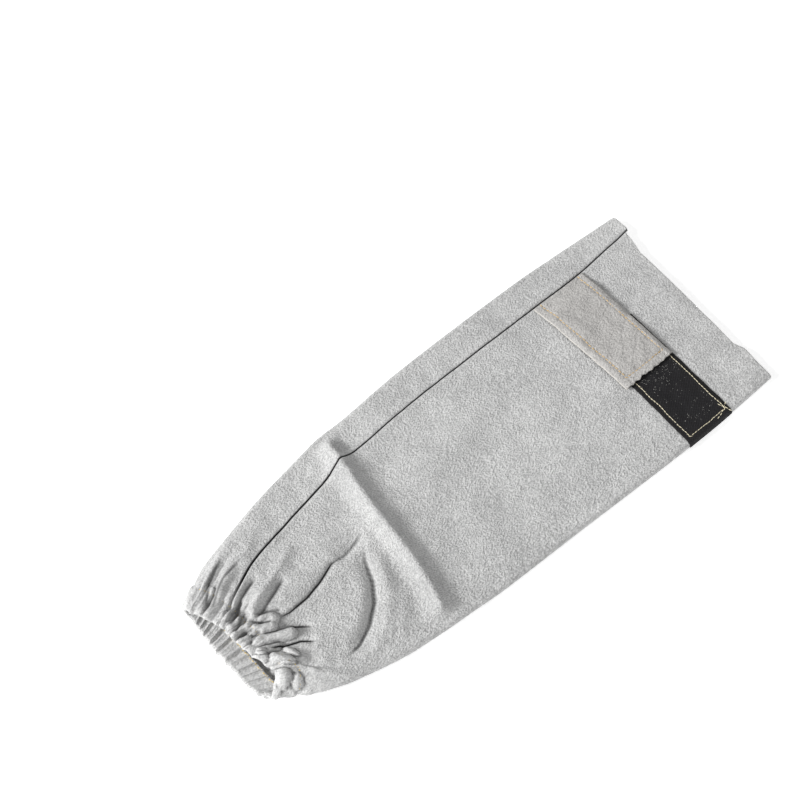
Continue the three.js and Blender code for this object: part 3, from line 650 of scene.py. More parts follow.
def wall_loop():
    """The closed loop of the wall: places along, depths below the outer face, kind of edge."""
    loop = [(0.0, RAW_EDGE_ROUND, 1.0), (RAW_EDGE_AT, 0.0, 0.5)]
    loop += [(along, 0.0, 0.0) for along in OUTER]
    for k in range(1, TURN_STEPS):
        angle = math.pi * k / TURN_STEPS
        beyond = RIM_RADIUS * math.sin(angle)
        loop.append((TURN_START + beyond, RIM_RADIUS * (1 - math.cos(angle)), 0.0))
    loop += [(along, CUFF_STACK, 0.0) for along in HEM[::-1]]
    loop += [(CASING_START, CUFF_STACK - 0.5, 1.0), (CASING_START, HIDE + FIT_GAP + 0.2, 1.0)]
    loop += [(along, HIDE + POCKET, 0.0) for along in HEM[::2]]
    loop += [(TURN_START + POCKET / 2, HIDE + POCKET / 2, 0.0)]
    loop += [(along, HIDE, 0.0) for along in [TURN_START, *HEM[::-2], *INNER[::-1]]]
    loop += [(RAW_EDGE_AT, HIDE, 0.5), (0.0, HIDE - RAW_EDGE_ROUND, 1.0)]
    return np.array(loop)


LOOP = wall_loop()
print("wall:", len(LOOP), "rings of", len(AROUND), "points")

# %% [markdown]
# ## The hide
# Four things that the paint cannot guess are kept on each point: the painted shade that it takes in a
# crease, between lumps or between the hem's ruffles, whether it is a raw cut edge, how coarse the grain is
# there, and how far the nap is worn flat.
# The belly side of a hide is looser, so its nap is coarser along the far edge and at the open corner. The
# painted shade lines in the seam's slit and in the sharp creases are kept as distances, which stay sharp
# between the points of the mesh.

# %% Distances for the painted shade lines
SHADE_LINES_BETWEEN = (1.3, 3.97)     # places round the ring between which there are painted shade lines
SEAM_WIDENING = 0.45            # how much wider the seam's painted shade line is past the main fold
SEAM_WIDENS = (0.55, 0.70)      # shares of the length over which it widens
SEAM_PALES = (0.900, 0.955)     # and over which it turns paler
SEAM_PALER = 0.75               # by how much
SEAM_ENDS = (0.955, 0.975)      # and over which it ends
SHADE_LINE_START = (0.02, 0.25)        # shares of a crease's path over which its painted shade line comes
SHADE_LINE_END = (0.85, 0.99)          # and goes
LINE_WIDTH = (0.55, 0.75)       # its width at the ends, and what is added to that in the middle


def shade_line_distances(along, around):
    """Signed distance in mm to the painted shade lines of the seam and creases, and their strength."""
    points, _ = skin(along, around)
    y = points[..., 1] - ORIGIN[1]
    from_rim = ORIGIN[0] - points[..., 0]
    on_top = ((around > SHADE_LINES_BETWEEN[0]) & (around < SHADE_LINES_BETWEEN[1])).astype(float)
    width = 1 + SEAM_WIDENING * over_length(along, SEAM_WIDENS)
    strength = on_top * (1 - SEAM_PALER * over_length(along, SEAM_PALES))
    strength = strength * (1 - over_length(along, SEAM_ENDS))
    lines = {"seam_shade_line": ((y - section_at(along)[4]) / width, strength)}
    for fold in FOLDS:
        if fold["name"] in SHADE_LINE_CREASES:
            distance, side, where = place_on_path(from_rim, y, fold["path"])
            strength = fold["line_shade"] * ease(where, *SHADE_LINE_START) * (1 - ease(where, *SHADE_LINE_END)) * on_top
            width = LINE_WIDTH[0] + LINE_WIDTH[1] * np.sin(np.pi * where)
            lines[fold["name"]] = (distance * side / (fold.get("broad", 1.0) * width), strength)
    return lines


print("dark lines: the seam and", len(SHADE_LINE_CREASES), "creases")

# %% Softer painted shade between lumps and between ruffles
CREASE_SHADE_WIDTH = 1.5      # half-width in mm of the painted shade in a crease
SHADED_FROM = -2.0       # rise in mm; creases that are deeper get painted shade
CREASE_SHADE_START = 0.25      # share of a crease's path over which the painted shade comes
CREASE_SHADE_END = 0.85        # and from where it goes
VALLEY_WIDTH = 0.9      # mm of height over which the valley between two lumps gets painted shade
FOOT_WIDTH = 0.8        # mm over which the foot of a lump gets painted shade
TALL_LUMP = 2           # mm; lower lumps get no painted shade at their foot
# strength of the painted shade at the lumps of the top layer
TOP_LUMPS_SHADE = 0.8
HEM_DARKNESS = 0.75     # how dark the painted shade between the hem's ruffles gets, from 0 to 1
HEM_LINE_START = -0.35  # how far down a ruffle's side that painted shade starts
HEM_CORNER = dict(comes=(4.6, 4.9), goes=(5.35, 5.60))   # places round the ring


def lump_feet(distances, lumps):
    """How near a place is to the foot of a lump, or to the valley between two, from 0 to 1."""
    heights = np.sort(np.stack([dome(d, lump) for d, lump in zip(distances, lumps)]), axis=0)
    highest, second = heights[-1], heights[-2]
    valley = np.exp(-((highest - second) / VALLEY_WIDTH) ** 2) * ease(second, 0.2, 1.2)
    tall = [(d, lump) for d, lump in zip(distances, lumps) if lump["height"] > TALL_LUMP]
    nearest = np.min(np.stack([np.abs(d - lump["radius"]) for d, lump in tall]), axis=0)
    foot = np.exp(-(nearest / FOOT_WIDTH) ** 2) * (1 - ease(highest, 0.8, 2.4))
    return np.maximum(valley, foot)


def soft_shade(along, around):
    """Painted soft shade in the deeper creases and at the lumps, from 0 to 1."""
    points, _ = skin(along, around)
    y = points[..., 1] - ORIGIN[1]
    from_rim = ORIGIN[0] - points[..., 0]
    shade = np.zeros(np.shape(along))
    for fold in FOLDS:
        if fold["rise"] < SHADED_FROM:
            distance, _, where = place_on_path(from_rim, y, fold["path"])
            ends = ease(where, 0, CREASE_SHADE_START) * (1 - ease(where, CREASE_SHADE_END, 1))
            shade = np.maximum(shade, np.exp(-(distance / CREASE_SHADE_WIDTH) ** 2) * ends)
    from_paths = [place_on_path(from_rim, y, lump["path"])[0] for lump in LUMPS]
    from_places = [from_lump(along, around, lump) for lump in CORNER_LUMPS]
    shade = np.maximum(shade, TOP_LUMPS_SHADE * lump_feet(from_paths, LUMPS))
    on_top = (around > 1) & (around < 4)
    return np.maximum(np.where(on_top, shade, 0), lump_feet(from_places, CORNER_LUMPS))


def hem_shade(along, around):
    """Painted shade between the hem's ruffles beside the far corner of the mouth, from 0 to 1."""
    between = ease(-ridge(ruffles_passed(around)), HEM_LINE_START, 1.0)
    beside_corner = ease(around, *HEM_CORNER["comes"]) * (1 - ease(around, *HEM_CORNER["goes"]))
    return between * beside_corner * ease(along, CASING_START, CASING_START + 3)


deepest = soft_shade(np.full(600, 0.95 * LENGTH), np.linspace(1.1, 3.9, 600)).max()
print("darkest grime beside the mouth:", round(float(deepest), 2))

# %% Build the leather tube
OPEN_SPAN = (0.0, 0.30)         # shares of the length over which the hide changes from the rim
WORN_SPAN = (0.87, 0.94)        # and towards the mouth
LOOSE_NAP = 0.35                # how much coarser the open corner is
WORN_AT_MOUTH, WORN_AT_RIM = 0.45, 0.20


def build_sleeve():
    """The tube as one closed wall, with what the finish reads kept on its points."""
    along = np.broadcast_to(LOOP[:, :1], (len(LOOP), len(AROUND)))
    around = np.broadcast_to(AROUND[None, :], along.shape)
    points, _ = skin(along, around, LOOP[:, 1:2])
    quads = outward(points, ring_quads(*along.shape))
    outer = LOOP[:, 1:2] < HIDE / 2
    y_share = (points[..., 1] - ORIGIN[1]) / (WIDTH / 2)
    near_rim = 1 - over_length(along, OPEN_SPAN)
    loose = LOOSE_NAP * near_rim * ease(-y_share, -0.2, 0.6)
    calm = 1 - WORN_AT_MOUTH * over_length(along, WORN_SPAN) - WORN_AT_RIM * near_rim
    # painted shade: in the creases and at the lumps outside, and between the hem's ruffles inside
    painted_shade = soft_shade(along, around) * outer + HEM_DARKNESS * hem_shade(along, around) * ~outer
    kept = {
        "crease": painted_shade,
        "raw_edge": np.broadcast_to(LOOP[:, 2:3], along.shape),
        "coarse": np.clip(ease(-y_share, 0.35, 0.95) + loose, 0, 1) * calm,
        "calm": calm,
    }
    for name, (gap, strength) in shade_line_distances(along, around).items():
        kept[name] = gap
        kept[name + "_strength"] = strength * outer
    return mesh_object("leather_sleeve", points, quads, kept)


leather_sleeve = build_sleeve()
print("leather tube:", 2 * len(leather_sleeve.data.polygons), "triangles")

# %% [markdown]
# ## Pieces laid on the hide
# The tab, the two tapes and the elastic are thin sheets with a thickness, so each is a grid
# on the skin with an upper and an under face that meet round the edge.

# %% Sizes of the closure
TAB_MIDDLE = 84         # from the open rim to the middle of the tab's sewn end
TAB_LENGTH = 111        # from the seam to the tab's free end
TAB_SEWN_WIDTH = 58
TAB_FREE_WIDTH = 55
TAB_SKEW = 4            # how far the free end leans to the open rim
TAB_CLIMB = 22          # length over which the tab climbs from the seam onto the tapes
HOOK_TAPE = 1
HOOK_MARGIN = 3
LOOP_TAPE = 1.2
LOOP_WIDTH = 50
LOOP_MIDDLE = 76
LOOP_OVERLAP = 52
LOOP_TURN = 0.5         # share of the rolled edge that the loop tape goes round
LOOP_LIFT = FIT_GAP
HOOK_LIFT = LOOP_LIFT + LOOP_TAPE + FIT_GAP
TAB_LIFT = HOOK_LIFT + HOOK_TAPE + FIT_GAP
ZONE_END = 0.99999      # keeps the last place of a zone out of the next one
print("the tab lies", round(TAB_LIFT, 2), "mm over the hide")

# %% Sheets that follow the skin
def around_from_seam(along, distance):
    """Place round the ring of a distance in mm from the seam, over the top layer."""
    _, roll, _, fold_side, seam_line = section_at(np.asarray(along, float))
    top_length = seam_line - SEAM_HALF_WIDTH - fold_side
    over = np.maximum(distance - top_length, 0) / (math.pi * roll)
    on_top = ZONES.index("top") + np.clip(distance / top_length, 0, ZONE_END)
    return np.where(distance <= top_length, on_top, ZONES.index("fold_roll") + over)


def laid_points(along, distance, lift):
    """Points at a lift above the skin, measured from the seam."""
    along, distance, lift = np.broadcast_arrays(
        *(np.asarray(value, float) for value in (along, distance, lift)))
    return skin(along, around_from_seam(along, distance), -lift, 0.0)


def grid_quads(rows, columns):
    """Quads of an open grid, and the grid's own numbering of its points."""
    index = np.arange(rows * columns).reshape(rows, columns)
    corners = [index[:-1, :-1], index[:-1, 1:], index[1:, 1:], index[1:, :-1]]
    return np.stack(corners, -1).reshape(-1, 4), index


def laid_sheet(name, along, distance, under, over, attributes=None):
    """A closed thin piece over a grid of places, between two lifts above the skin."""
    upper, _ = laid_points(along, distance, over)
    lower, _ = laid_points(along, distance, under)
    points = np.concatenate([upper.reshape(-1, 3), lower.reshape(-1, 3)])
    top, index = grid_quads(*along.shape)
    border = np.concatenate([index[0, :-1], index[:-1, -1], index[-1, :0:-1], index[:0:-1, 0]])
    after = np.roll(border, -1)
    sides = np.stack([border, border + index.size, after + index.size, after], -1)
    quads = np.concatenate([top, top[:, ::-1] + index.size, sides])
    both = {}
    for label, values in (attributes or {}).items():
        both[label] = np.concatenate([values.ravel(), values.ravel()])
    return mesh_object(name, points, outward(points, quads), both)


# %% [markdown]
# ## The tab
# The tab is cut from harder split leather. Its edges are raw and a little wavy. The rows of
# stitching pull it down, and outside the hook tape its margins droop.

# %% Where the tab and its stitching lie
TAB_EDGE_STITCH = 5.5    # from the long edge at the open side to its stitching
TAB_CUFF_STITCH = 7.8    # the same on the side towards the cuff
TAB_END_STITCH = 7.5     # from the free end to its stitching
STITCH_DIP = 0.45        # how deep the stitching draws the tab in
STITCH_DIP_WIDTH = 1.3
EDGE_DROOP = 1.0         # how far the margin outside the hook tape hangs down
HOOK_ALLOWANCE = 1.5     # how much narrower than the margin allows the hook tape is cut


def tab_edges(distance, margin):
    """Where the tab starts and ends along the sleeve, drawn in by a margin."""
    share = distance / TAB_LENGTH
    middle = TAB_MIDDLE - TAB_SKEW * share
    half = (TAB_SEWN_WIDTH + (TAB_FREE_WIDTH - TAB_SEWN_WIDTH) * share) / 2 - margin
    return middle - half, middle + half


def tab_lift(distance):
    """Height of the tab's underside over the hide."""
    return FIT_GAP + (TAB_LIFT - FIT_GAP) * ease(distance, 0, TAB_CLIMB)


def stitch_dip(from_start, from_end, to_free_end):
    """How far the rows of stitching pull the tab down, in mm."""
    row_gap = np.minimum(np.minimum(np.abs(from_start - TAB_EDGE_STITCH),
                                    np.abs(from_end - TAB_CUFF_STITCH)),
                         np.abs(to_free_end - TAB_END_STITCH))
    inside = (from_start > TAB_EDGE_STITCH - 1) & (from_end > TAB_CUFF_STITCH - 1)
    row_gap = np.where(inside | (to_free_end > TAB_END_STITCH), row_gap, np.inf)
    return STITCH_DIP * np.exp(-(row_gap / STITCH_DIP_WIDTH) ** 2)


print("tab edges at its free end, mm:", [round(edge, 1) for edge in tab_edges(TAB_LENGTH, 0)])

# %% Build the leather tab
TAB_GRID = (128, 68)     # points along the tab and across it
TAB_START = 0.4          # from the seam's slit to the tab's first points
EDGE_WAVE = 0.30         # how far the knife wandered along the edges
RAGGED_END = 0.8         # how uneven the free end is
RAGGED_DEPTH = 12        # length over which that shows
TAB_ROUND_OFF = 0.35     # how much is taken off the raw edges, above and below
TAB_CLEARANCE = 0.15


def build_tab():
    """The tab, with wavy raw edges, dips along its stitching and drooping margins."""
    distance = np.linspace(TAB_START, TAB_LENGTH, TAB_GRID[0])[:, None]
    start, end = tab_edges(distance, 0)
    start = start + EDGE_WAVE * unevenness(distance, 0 * distance, 13, 21)
    end = end + EDGE_WAVE * unevenness(distance, 0 * distance, 15, 22)
    along = start + (end - start) * np.linspace(0, 1, TAB_GRID[1])[None, :]
    at_end = ease(distance, TAB_LENGTH - RAGGED_DEPTH, TAB_LENGTH)
    distance = distance + RAGGED_END * unevenness(along, 0 * along, 7, 23) * at_end
    from_side = np.minimum(along - start, end - along)
    from_edge = np.minimum(from_side, TAB_LENGTH - distance + 0.5)
    dip = stitch_dip(along - start, end - along, TAB_LENGTH - distance)
    droop = EDGE_DROOP * (1 - ease(from_side, 0, HOOK_MARGIN + HOOK_ALLOWANCE))
    droop = droop * ease(distance, 12, 34)
    bumps = 0.35 * unevenness(along, distance, 21, 24) + 0.14 * unevenness(along, distance, 6, 25)
    lift = tab_lift(distance) - dip - droop + bumps * ease(distance, 6, 24) + TAB_CLEARANCE
    round_off = TAB_ROUND_OFF * (1 - ease(from_edge, 0, 0.9))
    raw = 1 - ease(from_edge, 0.0, 1.1)
    kept = {"raw_edge": raw, "coarse": 0.6 + 0 * raw, "calm": 1 + 0 * raw, "crease": 0.0 * raw}
    return laid_sheet("leather_tab", along, distance, lift + round_off, lift + HIDE - round_off, kept)


leather_tab = build_tab()
print("tab:", 2 * len(leather_tab.data.polygons), "triangles")

# %% [markdown]
# ## The tapes and the elastic
# The loop tape is woven, with a brushed pile between two smooth selvedges. It is seen from
# under the tab to the far edge. The hook tape hides under the tab and the elastic in the
# casing, yet both are built, so that nothing is missing when the sleeve is turned.

# %% Build the loop tape
SELVEDGE = 2.6           # width of the smooth edge of the loop tape
PILE_RISE = 0.45         # how far the pile stands over the ground weave
PILE_START = 1.6         # width over which the pile rises beside the selvedge
GROUND_SINK = 0.35       # how much thinner the ground weave is than the tape with its pile
LOOP_GRID = (150, 60)
LOOP_WAVE = 0.25         # how far the tape's edges wander


def loop_tape_end():
    """Distance from the seam to the tape's end, part of the way round the far edge."""
    _, roll, _, fold_side, seam_line = (float(v) for v in section_at(np.array(float(LOOP_MIDDLE))))
    return seam_line - fold_side - LOOP_TAPE + LOOP_TURN * math.pi * roll


def build_loop_tape():
    """The loop tape, with a raised uneven pile between two selvedges."""
    end = loop_tape_end()
    distance = np.linspace(TAB_LENGTH - LOOP_OVERLAP, end, LOOP_GRID[0])[:, None]
    side = np.linspace(-0.5, 0.5, LOOP_GRID[1])[None, :]
    along = LOOP_MIDDLE + LOOP_WIDTH * side
    along = along + LOOP_WAVE * unevenness(distance, 0 * distance, 30, 31)
    distance = distance + 0 * along
    from_edge = np.minimum(LOOP_WIDTH * (0.5 - np.abs(side)) + 0 * distance, end - distance)
    pile = ease(from_edge, SELVEDGE, SELVEDGE + PILE_START)
    rough = 0.12 * unevenness(along, distance, 3.2, 32) + 0.25 * unevenness(along, distance, 24, 33)
    over = LOOP_LIFT + LOOP_TAPE - GROUND_SINK + PILE_RISE * pile + rough * pile
    over = over - 0.4 * (1 - ease(from_edge, 0, 0.5))
    return laid_sheet("loop_tape", along, distance, LOOP_LIFT + 0 * over, over, {"pile": pile})


loop_tape = build_loop_tape()
print("loop tape:", 2 * len(loop_tape.data.polygons), "triangles")

# %% Build the hook tape and the elastic
HOOK_GRID = (70, 36)
HOOK_SINK = 0.25         # how much thinner the hook tape is drawn, for its hooks are pressed down
ELASTIC_MARGIN = 2       # from the elastic's edges to the ends of the casing
ELASTIC_ROWS = 9


def build_hook_tape():
    """The hook tape under the tab."""
    distance = np.linspace(TAB_CLIMB, TAB_LENGTH - HOOK_MARGIN, HOOK_GRID[0])[:, None]
    start, end = tab_edges(distance, HOOK_MARGIN + HOOK_ALLOWANCE)
    along = start + (end - start) * np.linspace(0, 1, HOOK_GRID[1])[None, :]
    flat = 0 * along
    over = HOOK_LIFT + HOOK_TAPE - HOOK_SINK + flat
    return laid_sheet("hook_tape", along, distance + flat, HOOK_LIFT + flat, over, {"pile": 1.0 + flat})


def build_elastic():
    """The elastic band in the casing, closed round the ring and round its own section."""
    outer = HIDE + FIT_GAP
    across = np.linspace(CASING_START + ELASTIC_MARGIN, TURN_START - ELASTIC_MARGIN, ELASTIC_ROWS)
    loop = [(along, outer) for along in across] + [(along, outer + ELASTIC) for along in across[::-1]]
    loop = np.array(loop)
    along = np.broadcast_to(loop[:, :1], (len(loop), len(AROUND)))
    points, _ = skin(along, np.broadcast_to(AROUND[None, :], along.shape), loop[:, 1:2])
    return mesh_object("elastic_band", points, outward(points, ring_quads(*along.shape)))


hook_tape = build_hook_tape()
elastic_band = build_elastic()
print("elastic:", 2 * len(elastic_band.data.polygons), "triangles")

# %% [markdown]
# ## Colours and nodes
# Colours are written as the eye reads them, in sRGB, and turned to linear for the renderer.

# %% Helpers for materials
def linear(hex_colour):
    """Linear RGBA from an sRGB hex colour."""
    channels = [int(hex_colour[i:i + 2], 16) / 255 for i in (1, 3, 5)]
    return (*(c / 12.92 if c <= 0.04045 else ((c + 0.055) / 1.055) ** 2.4 for c in channels), 1.0)


def add(tree, kind, settings=None, **links):
    """Adds a node. Settings set its fields, and links its inputs: a socket, or a plain value.

    A name like i0 picks an input by its number.
    """
    node = tree.nodes.new(kind)
    for field, value in (settings or {}).items():
        setattr(node, field, value)
    for name, value in links.items():
        key = int(name[1:]) if name[0] == "i" and name[1:].isdigit() else name.replace("_", " ")
        socket = node.inputs[key]
        if isinstance(value, bpy.types.NodeSocket):
            tree.links.new(value, socket)
        else:
            socket.default_value = value
    return node


def new_material(name):
    """A new material, its tree and its shader."""
    material = bpy.data.materials.new(name)
    material.use_nodes = True
    tree = material.node_tree
    tree.nodes.clear()
    shader = tree.nodes.new("ShaderNodeBsdfPrincipled")
    output = tree.nodes.new("ShaderNodeOutputMaterial")
    tree.links.new(shader.outputs["BSDF"], output.inputs["Surface"])
    return material, tree, shader


def noise(tree, vector, size_mm, detail, rough=0.55, twist=0.0):
    """Noise whose features are about size_mm across, on Object coordinates."""
    return add(tree, "ShaderNodeTexNoise", Vector=vector, Scale=1 / (size_mm * MM), Detail=detail,
               Roughness=rough, Distortion=twist).outputs["Fac"]


def ramp(tree, value, low, high, low_to=0.0, high_to=1.0):
    """Maps low to high onto another range."""
    return add(tree, "ShaderNodeMapRange", None, Value=value, From_Min=low, From_Max=high,
               To_Min=low_to, To_Max=high_to).outputs["Result"]


def blend_colours(tree, amount, first, second, mode="MIX"):
    """Mixes two colours by an amount."""
    return add(tree, "ShaderNodeMix", {"data_type": "RGBA", "blend_type": mode},
               i0=amount, i6=first, i7=second).outputs[2]


def compute(tree, operation, first, second):
    """One operation on two values."""
    return add(tree, "ShaderNodeMath", {"operation": operation}, i0=first, i1=second).outputs[0]


def weighed(tree, *parts):
    """The sum of some values, each times its weight."""
    terms = [compute(tree, "MULTIPLY", value, weight) for value, weight in parts]
    total = terms[0]
    for term in terms[1:]:
        total = compute(tree, "ADD", total, term)
    return total


def attribute(tree, name):
    """A value kept on the mesh's points."""
    return add(tree, "ShaderNodeAttribute", {"attribute_name": name}).outputs["Fac"]


def set_finish(shader, **values):
    """Sets constants on the shader's own sockets."""
    for name, value in values.items():
        shader.inputs[name.replace("_", " ")].default_value = value


# %% [markdown]
# ## Split cowhide
# Split leather has no grain layer: both faces are napped fibre. To the eye it is matt and
# pale, slightly mottled where the nap lies one way or the other, with a fine wrinkled grain.
# That grain is drawn larger than life, so that it shows at this distance. A little sheen stands for light
# caught by the fibre ends. Shade is painted into the creases, between the lumps and along the seam's slit.
# The tab is a denser piece, darker and warmer.

# %% Napped suede
NAP_GRAIN = 1.4          # mm, the wrinkles in the nap, drawn larger than life so that they show
NAP_CLUMP = 8.0          # mm, patches where the nap lies one way
NAP_CLOUD = 40.0         # mm, slow changes of the dye
COARSER = 1.8            # how much larger the wrinkles are where the hide is loose
NAP_STRETCH = (0.75, 1.2, 1.0)   # the wrinkles are longer one way than the other
NAP_TURN = (0, 0, 0.5)           # and lie at an angle to the sleeve
MOTTLE = dict(clump=0.24, cloud=0.24, grain=0.52)   # shares of each in the change of colour
GRAIN_RANGE = (0.36, 0.64)       # values of the grain's noise between the dark and the pale
RAW_EDGE_TINT = 0.6
# colour and strength of the painted shade in creases, between lumps and between the hem's ruffles
PAINTED_SHADE = "#4C4C4C"
PAINTED_SHADE_TINT = 0.78
RELIEF = dict(coarse=0.8, clump=0.6)   # share in the relief, where the grain has 1
LINE_HALF = 0.62         # mm, half-width of the painted shade line in the seam and in a sharp crease
LINE_BLUR = 0.32         # mm, how softly it ends
# near-black colour of the painted shade lines in the seam's slit and the sharp creases
SHADE_LINE_COLOUR = "#101011"


def paint_shade_line(tree, colour, name):
    """Paints the shade line of a crease or the seam's slit over a colour, from a kept distance."""
    gap = compute(tree, "ABSOLUTE", attribute(tree, name), 0.0)
    line_shade = ramp(tree, gap, LINE_HALF - LINE_BLUR, LINE_HALF + LINE_BLUR, 1.0, 0.0)
    line_shade = compute(tree, "MULTIPLY", line_shade, attribute(tree, name + "_strength"))
    return blend_colours(tree, line_shade, colour, linear(SHADE_LINE_COLOUR))


def napped_suede(name, pale, dark, edge_colour, sheen, bump_mm, lines=()):
    """Split leather with a brushed nap, matt and mottled, with its relief in mm."""
    material, tree, shader = new_material(name)
    place = add(tree, "ShaderNodeTexCoord").outputs["Object"]
    stretched = add(tree, "ShaderNodeMapping", None, Vector=place, Scale=NAP_STRETCH,
                    Rotation=NAP_TURN).outputs[0]
    grain = noise(tree, stretched, NAP_GRAIN, 2.0, 0.5)
    coarse_grain = noise(tree, stretched, NAP_GRAIN * COARSER, 2.5, 0.5, 0.3)
    clump = noise(tree, place, NAP_CLUMP, 4.0, 0.62)
    cloud = noise(tree, place, NAP_CLOUD, 2.0, 0.5)
    mottled = weighed(tree, (ramp(tree, clump, 0.3, 0.7), MOTTLE["clump"]),
                      (ramp(tree, cloud, 0.3, 0.7), MOTTLE["cloud"]),
                      (ramp(tree, grain, *GRAIN_RANGE), MOTTLE["grain"]))
    colour = blend_colours(tree, mottled, linear(dark), linear(pale))
    cut = ramp(tree, attribute(tree, "raw_edge"), 0.2, 1.0, 0.0, RAW_EDGE_TINT)
    colour = blend_colours(tree, cut, colour, linear(edge_colour))
    # painted shade: the colour darkens where the mesh keeps shade for its creases and lumps
    crease_shade = ramp(tree, attribute(tree, "crease"), 0.1, 1.0, 0.0, PAINTED_SHADE_TINT)
    colour = blend_colours(tree, crease_shade, colour, linear(PAINTED_SHADE))
    # painted shade lines in the seam's slit and in the sharp creases
    for line in lines:
        colour = paint_shade_line(tree, colour, line)
    tree.links.new(colour, shader.inputs["Base Color"])
    set_finish(shader, Roughness=0.94, Specular_IOR_Level=0.18, Sheen_Weight=sheen,
               Sheen_Roughness=0.55)
    coarse_share = compute(tree, "MULTIPLY", attribute(tree, "coarse"), RELIEF["coarse"])
    height = weighed(tree, (grain, 1.0), (coarse_grain, coarse_share), (clump, RELIEF["clump"]))
    height = compute(tree, "MULTIPLY", height, attribute(tree, "calm"))
    bump = add(tree, "ShaderNodeBump", None, Height=height, Strength=1.0, Distance=bump_mm * MM)
    tree.links.new(bump.outputs["Normal"], shader.inputs["Normal"])
    return material


SHADE_LINES = ["seam_shade_line"] + SHADE_LINE_CREASES
split_suede = napped_suede("napped_split_cowhide", pale="#E2E2E1", dark="#A2A2A2",
                           edge_colour="#DAD8D4", sheen=0.10, bump_mm=1.9, lines=SHADE_LINES)
tab_suede = napped_suede("thick_split_cowhide", pale="#CFCDCA", dark="#A09E9C",
                         edge_colour="#DDD8D0", sheen=0.08, bump_mm=1.2)
print("suede grain:", NAP_GRAIN, "mm")

# %% [markdown]
# ## Tape, elastic and thread
# The loop tape is nylon: a twill ground with brushed loops that swallow the light, so it is
# nearly black with a faint diagonal order. Its selvedge is flat and a shade smoother. The hook
# tape is moulded in the same nylon, and the elastic is an open pale weave over rubber. Thread
# is spun polyester, and aramid at the cuff: matt, with a slight gloss on each stitch.

# %% Woven tapes
TWILL_ANGLE = 38         # degrees
WAVE_BANDS = 3.14        # a wave texture of scale 1 has about this many bands in a unit
FUZZ = 0.9               # mm, the loops of the pile
WEAVE_RELIEF = 0.6       # share of the weave in the relief, where the fuzz has 1


def woven_tape(name, ground, pile_colour, rib_mm, bump_mm):
    """Woven tape: crossed ribs, with a paler brushed pile where the mesh says so."""
    material, tree, shader = new_material(name)
    place = add(tree, "ShaderNodeTexCoord").outputs["Object"]
    turned = add(tree, "ShaderNodeMapping", None, Vector=place,
                 Rotation=(0, 0, math.radians(TWILL_ANGLE))).outputs[0]
    warp, weft = (
        add(tree, "ShaderNodeTexWave", {"bands_direction": direction}, Vector=turned,
            Scale=1 / (rib_mm * MM * WAVE_BANDS), Distortion=1.2, Detail=2.0,
            Detail_Scale=1.5).outputs["Fac"]
        for direction in ("X", "Y"))
    fuzz = noise(tree, place, FUZZ, 3.0, 0.7)
    weave = compute(tree, "MULTIPLY", warp, weft)
    lit = ramp(tree, compute(tree, "MULTIPLY", weave, fuzz), 0.1, 0.5)
    lit = compute(tree, "MULTIPLY", lit, attribute(tree, "pile"))
    colour = blend_colours(tree, lit, linear(ground), linear(pile_colour))
    tree.links.new(colour, shader.inputs["Base Color"])
    set_finish(shader, Roughness=0.72, Specular_IOR_Level=0.35)
    height = weighed(tree, (weave, WEAVE_RELIEF), (fuzz, 1.0))
    bump = add(tree, "ShaderNodeBump", None, Height=height, Strength=1.0, Distance=bump_mm * MM)
    tree.links.new(bump.outputs["Normal"], shader.inputs["Normal"])
    return material


def plain_thread(name, colour, roughness):
    """Spun thread or a loose fibre: one colour, matt, with a slight gloss."""
    material, tree, shader = new_material(name)
    set_finish(shader, Base_Color=linear(colour), Roughness=roughness, Specular_IOR_Level=0.35)
    return material


loop_nylon = woven_tape("brushed_loop_nylon", "#141315", "#2E2D30", rib_mm=1.5, bump_mm=0.5)
hook_nylon = woven_tape("moulded_hook_nylon", "#1E1E20", "#333335", rib_mm=1.2, bump_mm=0.5)
elastic_weave = woven_tape("woven_elastic", "#DEDAD2", "#EFECE5", rib_mm=1.6, bump_mm=0.2)
cream_thread = plain_thread("cream_polyester_thread", "#F0E6C8", 0.6)
orange_thread = plain_thread("orange_tan_polyester_thread", "#E0BC7C", 0.6)
yellow_thread = plain_thread("yellow_aramid_thread", "#DDBF62", 0.6)
fuzz_fibre = plain_thread("pale_caught_fibre", "#B9B7B2", 0.8)

for piece, material in [(leather_sleeve, split_suede), (leather_tab, tab_suede),
                        (loop_tape, loop_nylon), (hook_tape, hook_nylon),
                        (elastic_band, elastic_weave)]:
    piece.data.materials.append(material)
print("materials:", len(bpy.data.materials))

# %% [markdown]
# ## Stitches
# A row of lockstitch is the same short bead of thread over and over along a path, which is
# what Geometry Nodes are for. The path is a mesh line that carries the direction out of the
# hide. The tree turns it into a curve, spaces points by the stitch pitch, and lays an
# elongated bead on each one, turned along the path.

# %% Parts that both trees use
def new_tree(name, geometry, sizes, material, result):
    """A new tree, the values that it is given, and the socket for its result."""
    tree = bpy.data.node_groups.new(name, "GeometryNodeTree")
    sockets = [(geometry, "Geometry")] + [(size, "Float") for size in sizes]
    for label, kind in sockets + [("Seed", "Int"), (material, "Material")]:
        tree.interface.new_socket(label, in_out="INPUT", socket_type="NodeSocket" + kind)
    tree.interface.new_socket(result, in_out="OUTPUT", socket_type="NodeSocketGeometry")
    given = tree.nodes.new("NodeGroupInput").outputs
    return tree, given, tree.nodes.new("NodeGroupOutput").inputs[0]


def stretched_bead(tree, bead, length, thickness):
    """A round bead of diameter 1, stretched along X."""
    size = add(tree, "ShaderNodeCombineXYZ", None, X=length, Y=thickness, Z=thickness).outputs[0]
    return add(tree, "GeometryNodeTransform", None, Geometry=bead, Scale=size).outputs[0]


def random_vector(tree, seed, low, high):
    """A vector for each instance, between two vectors."""
    return add(tree, "FunctionNodeRandomValue", {"data_type": "FLOAT_VECTOR"}, Seed=seed,
               i0=low, i1=high).outputs[0]


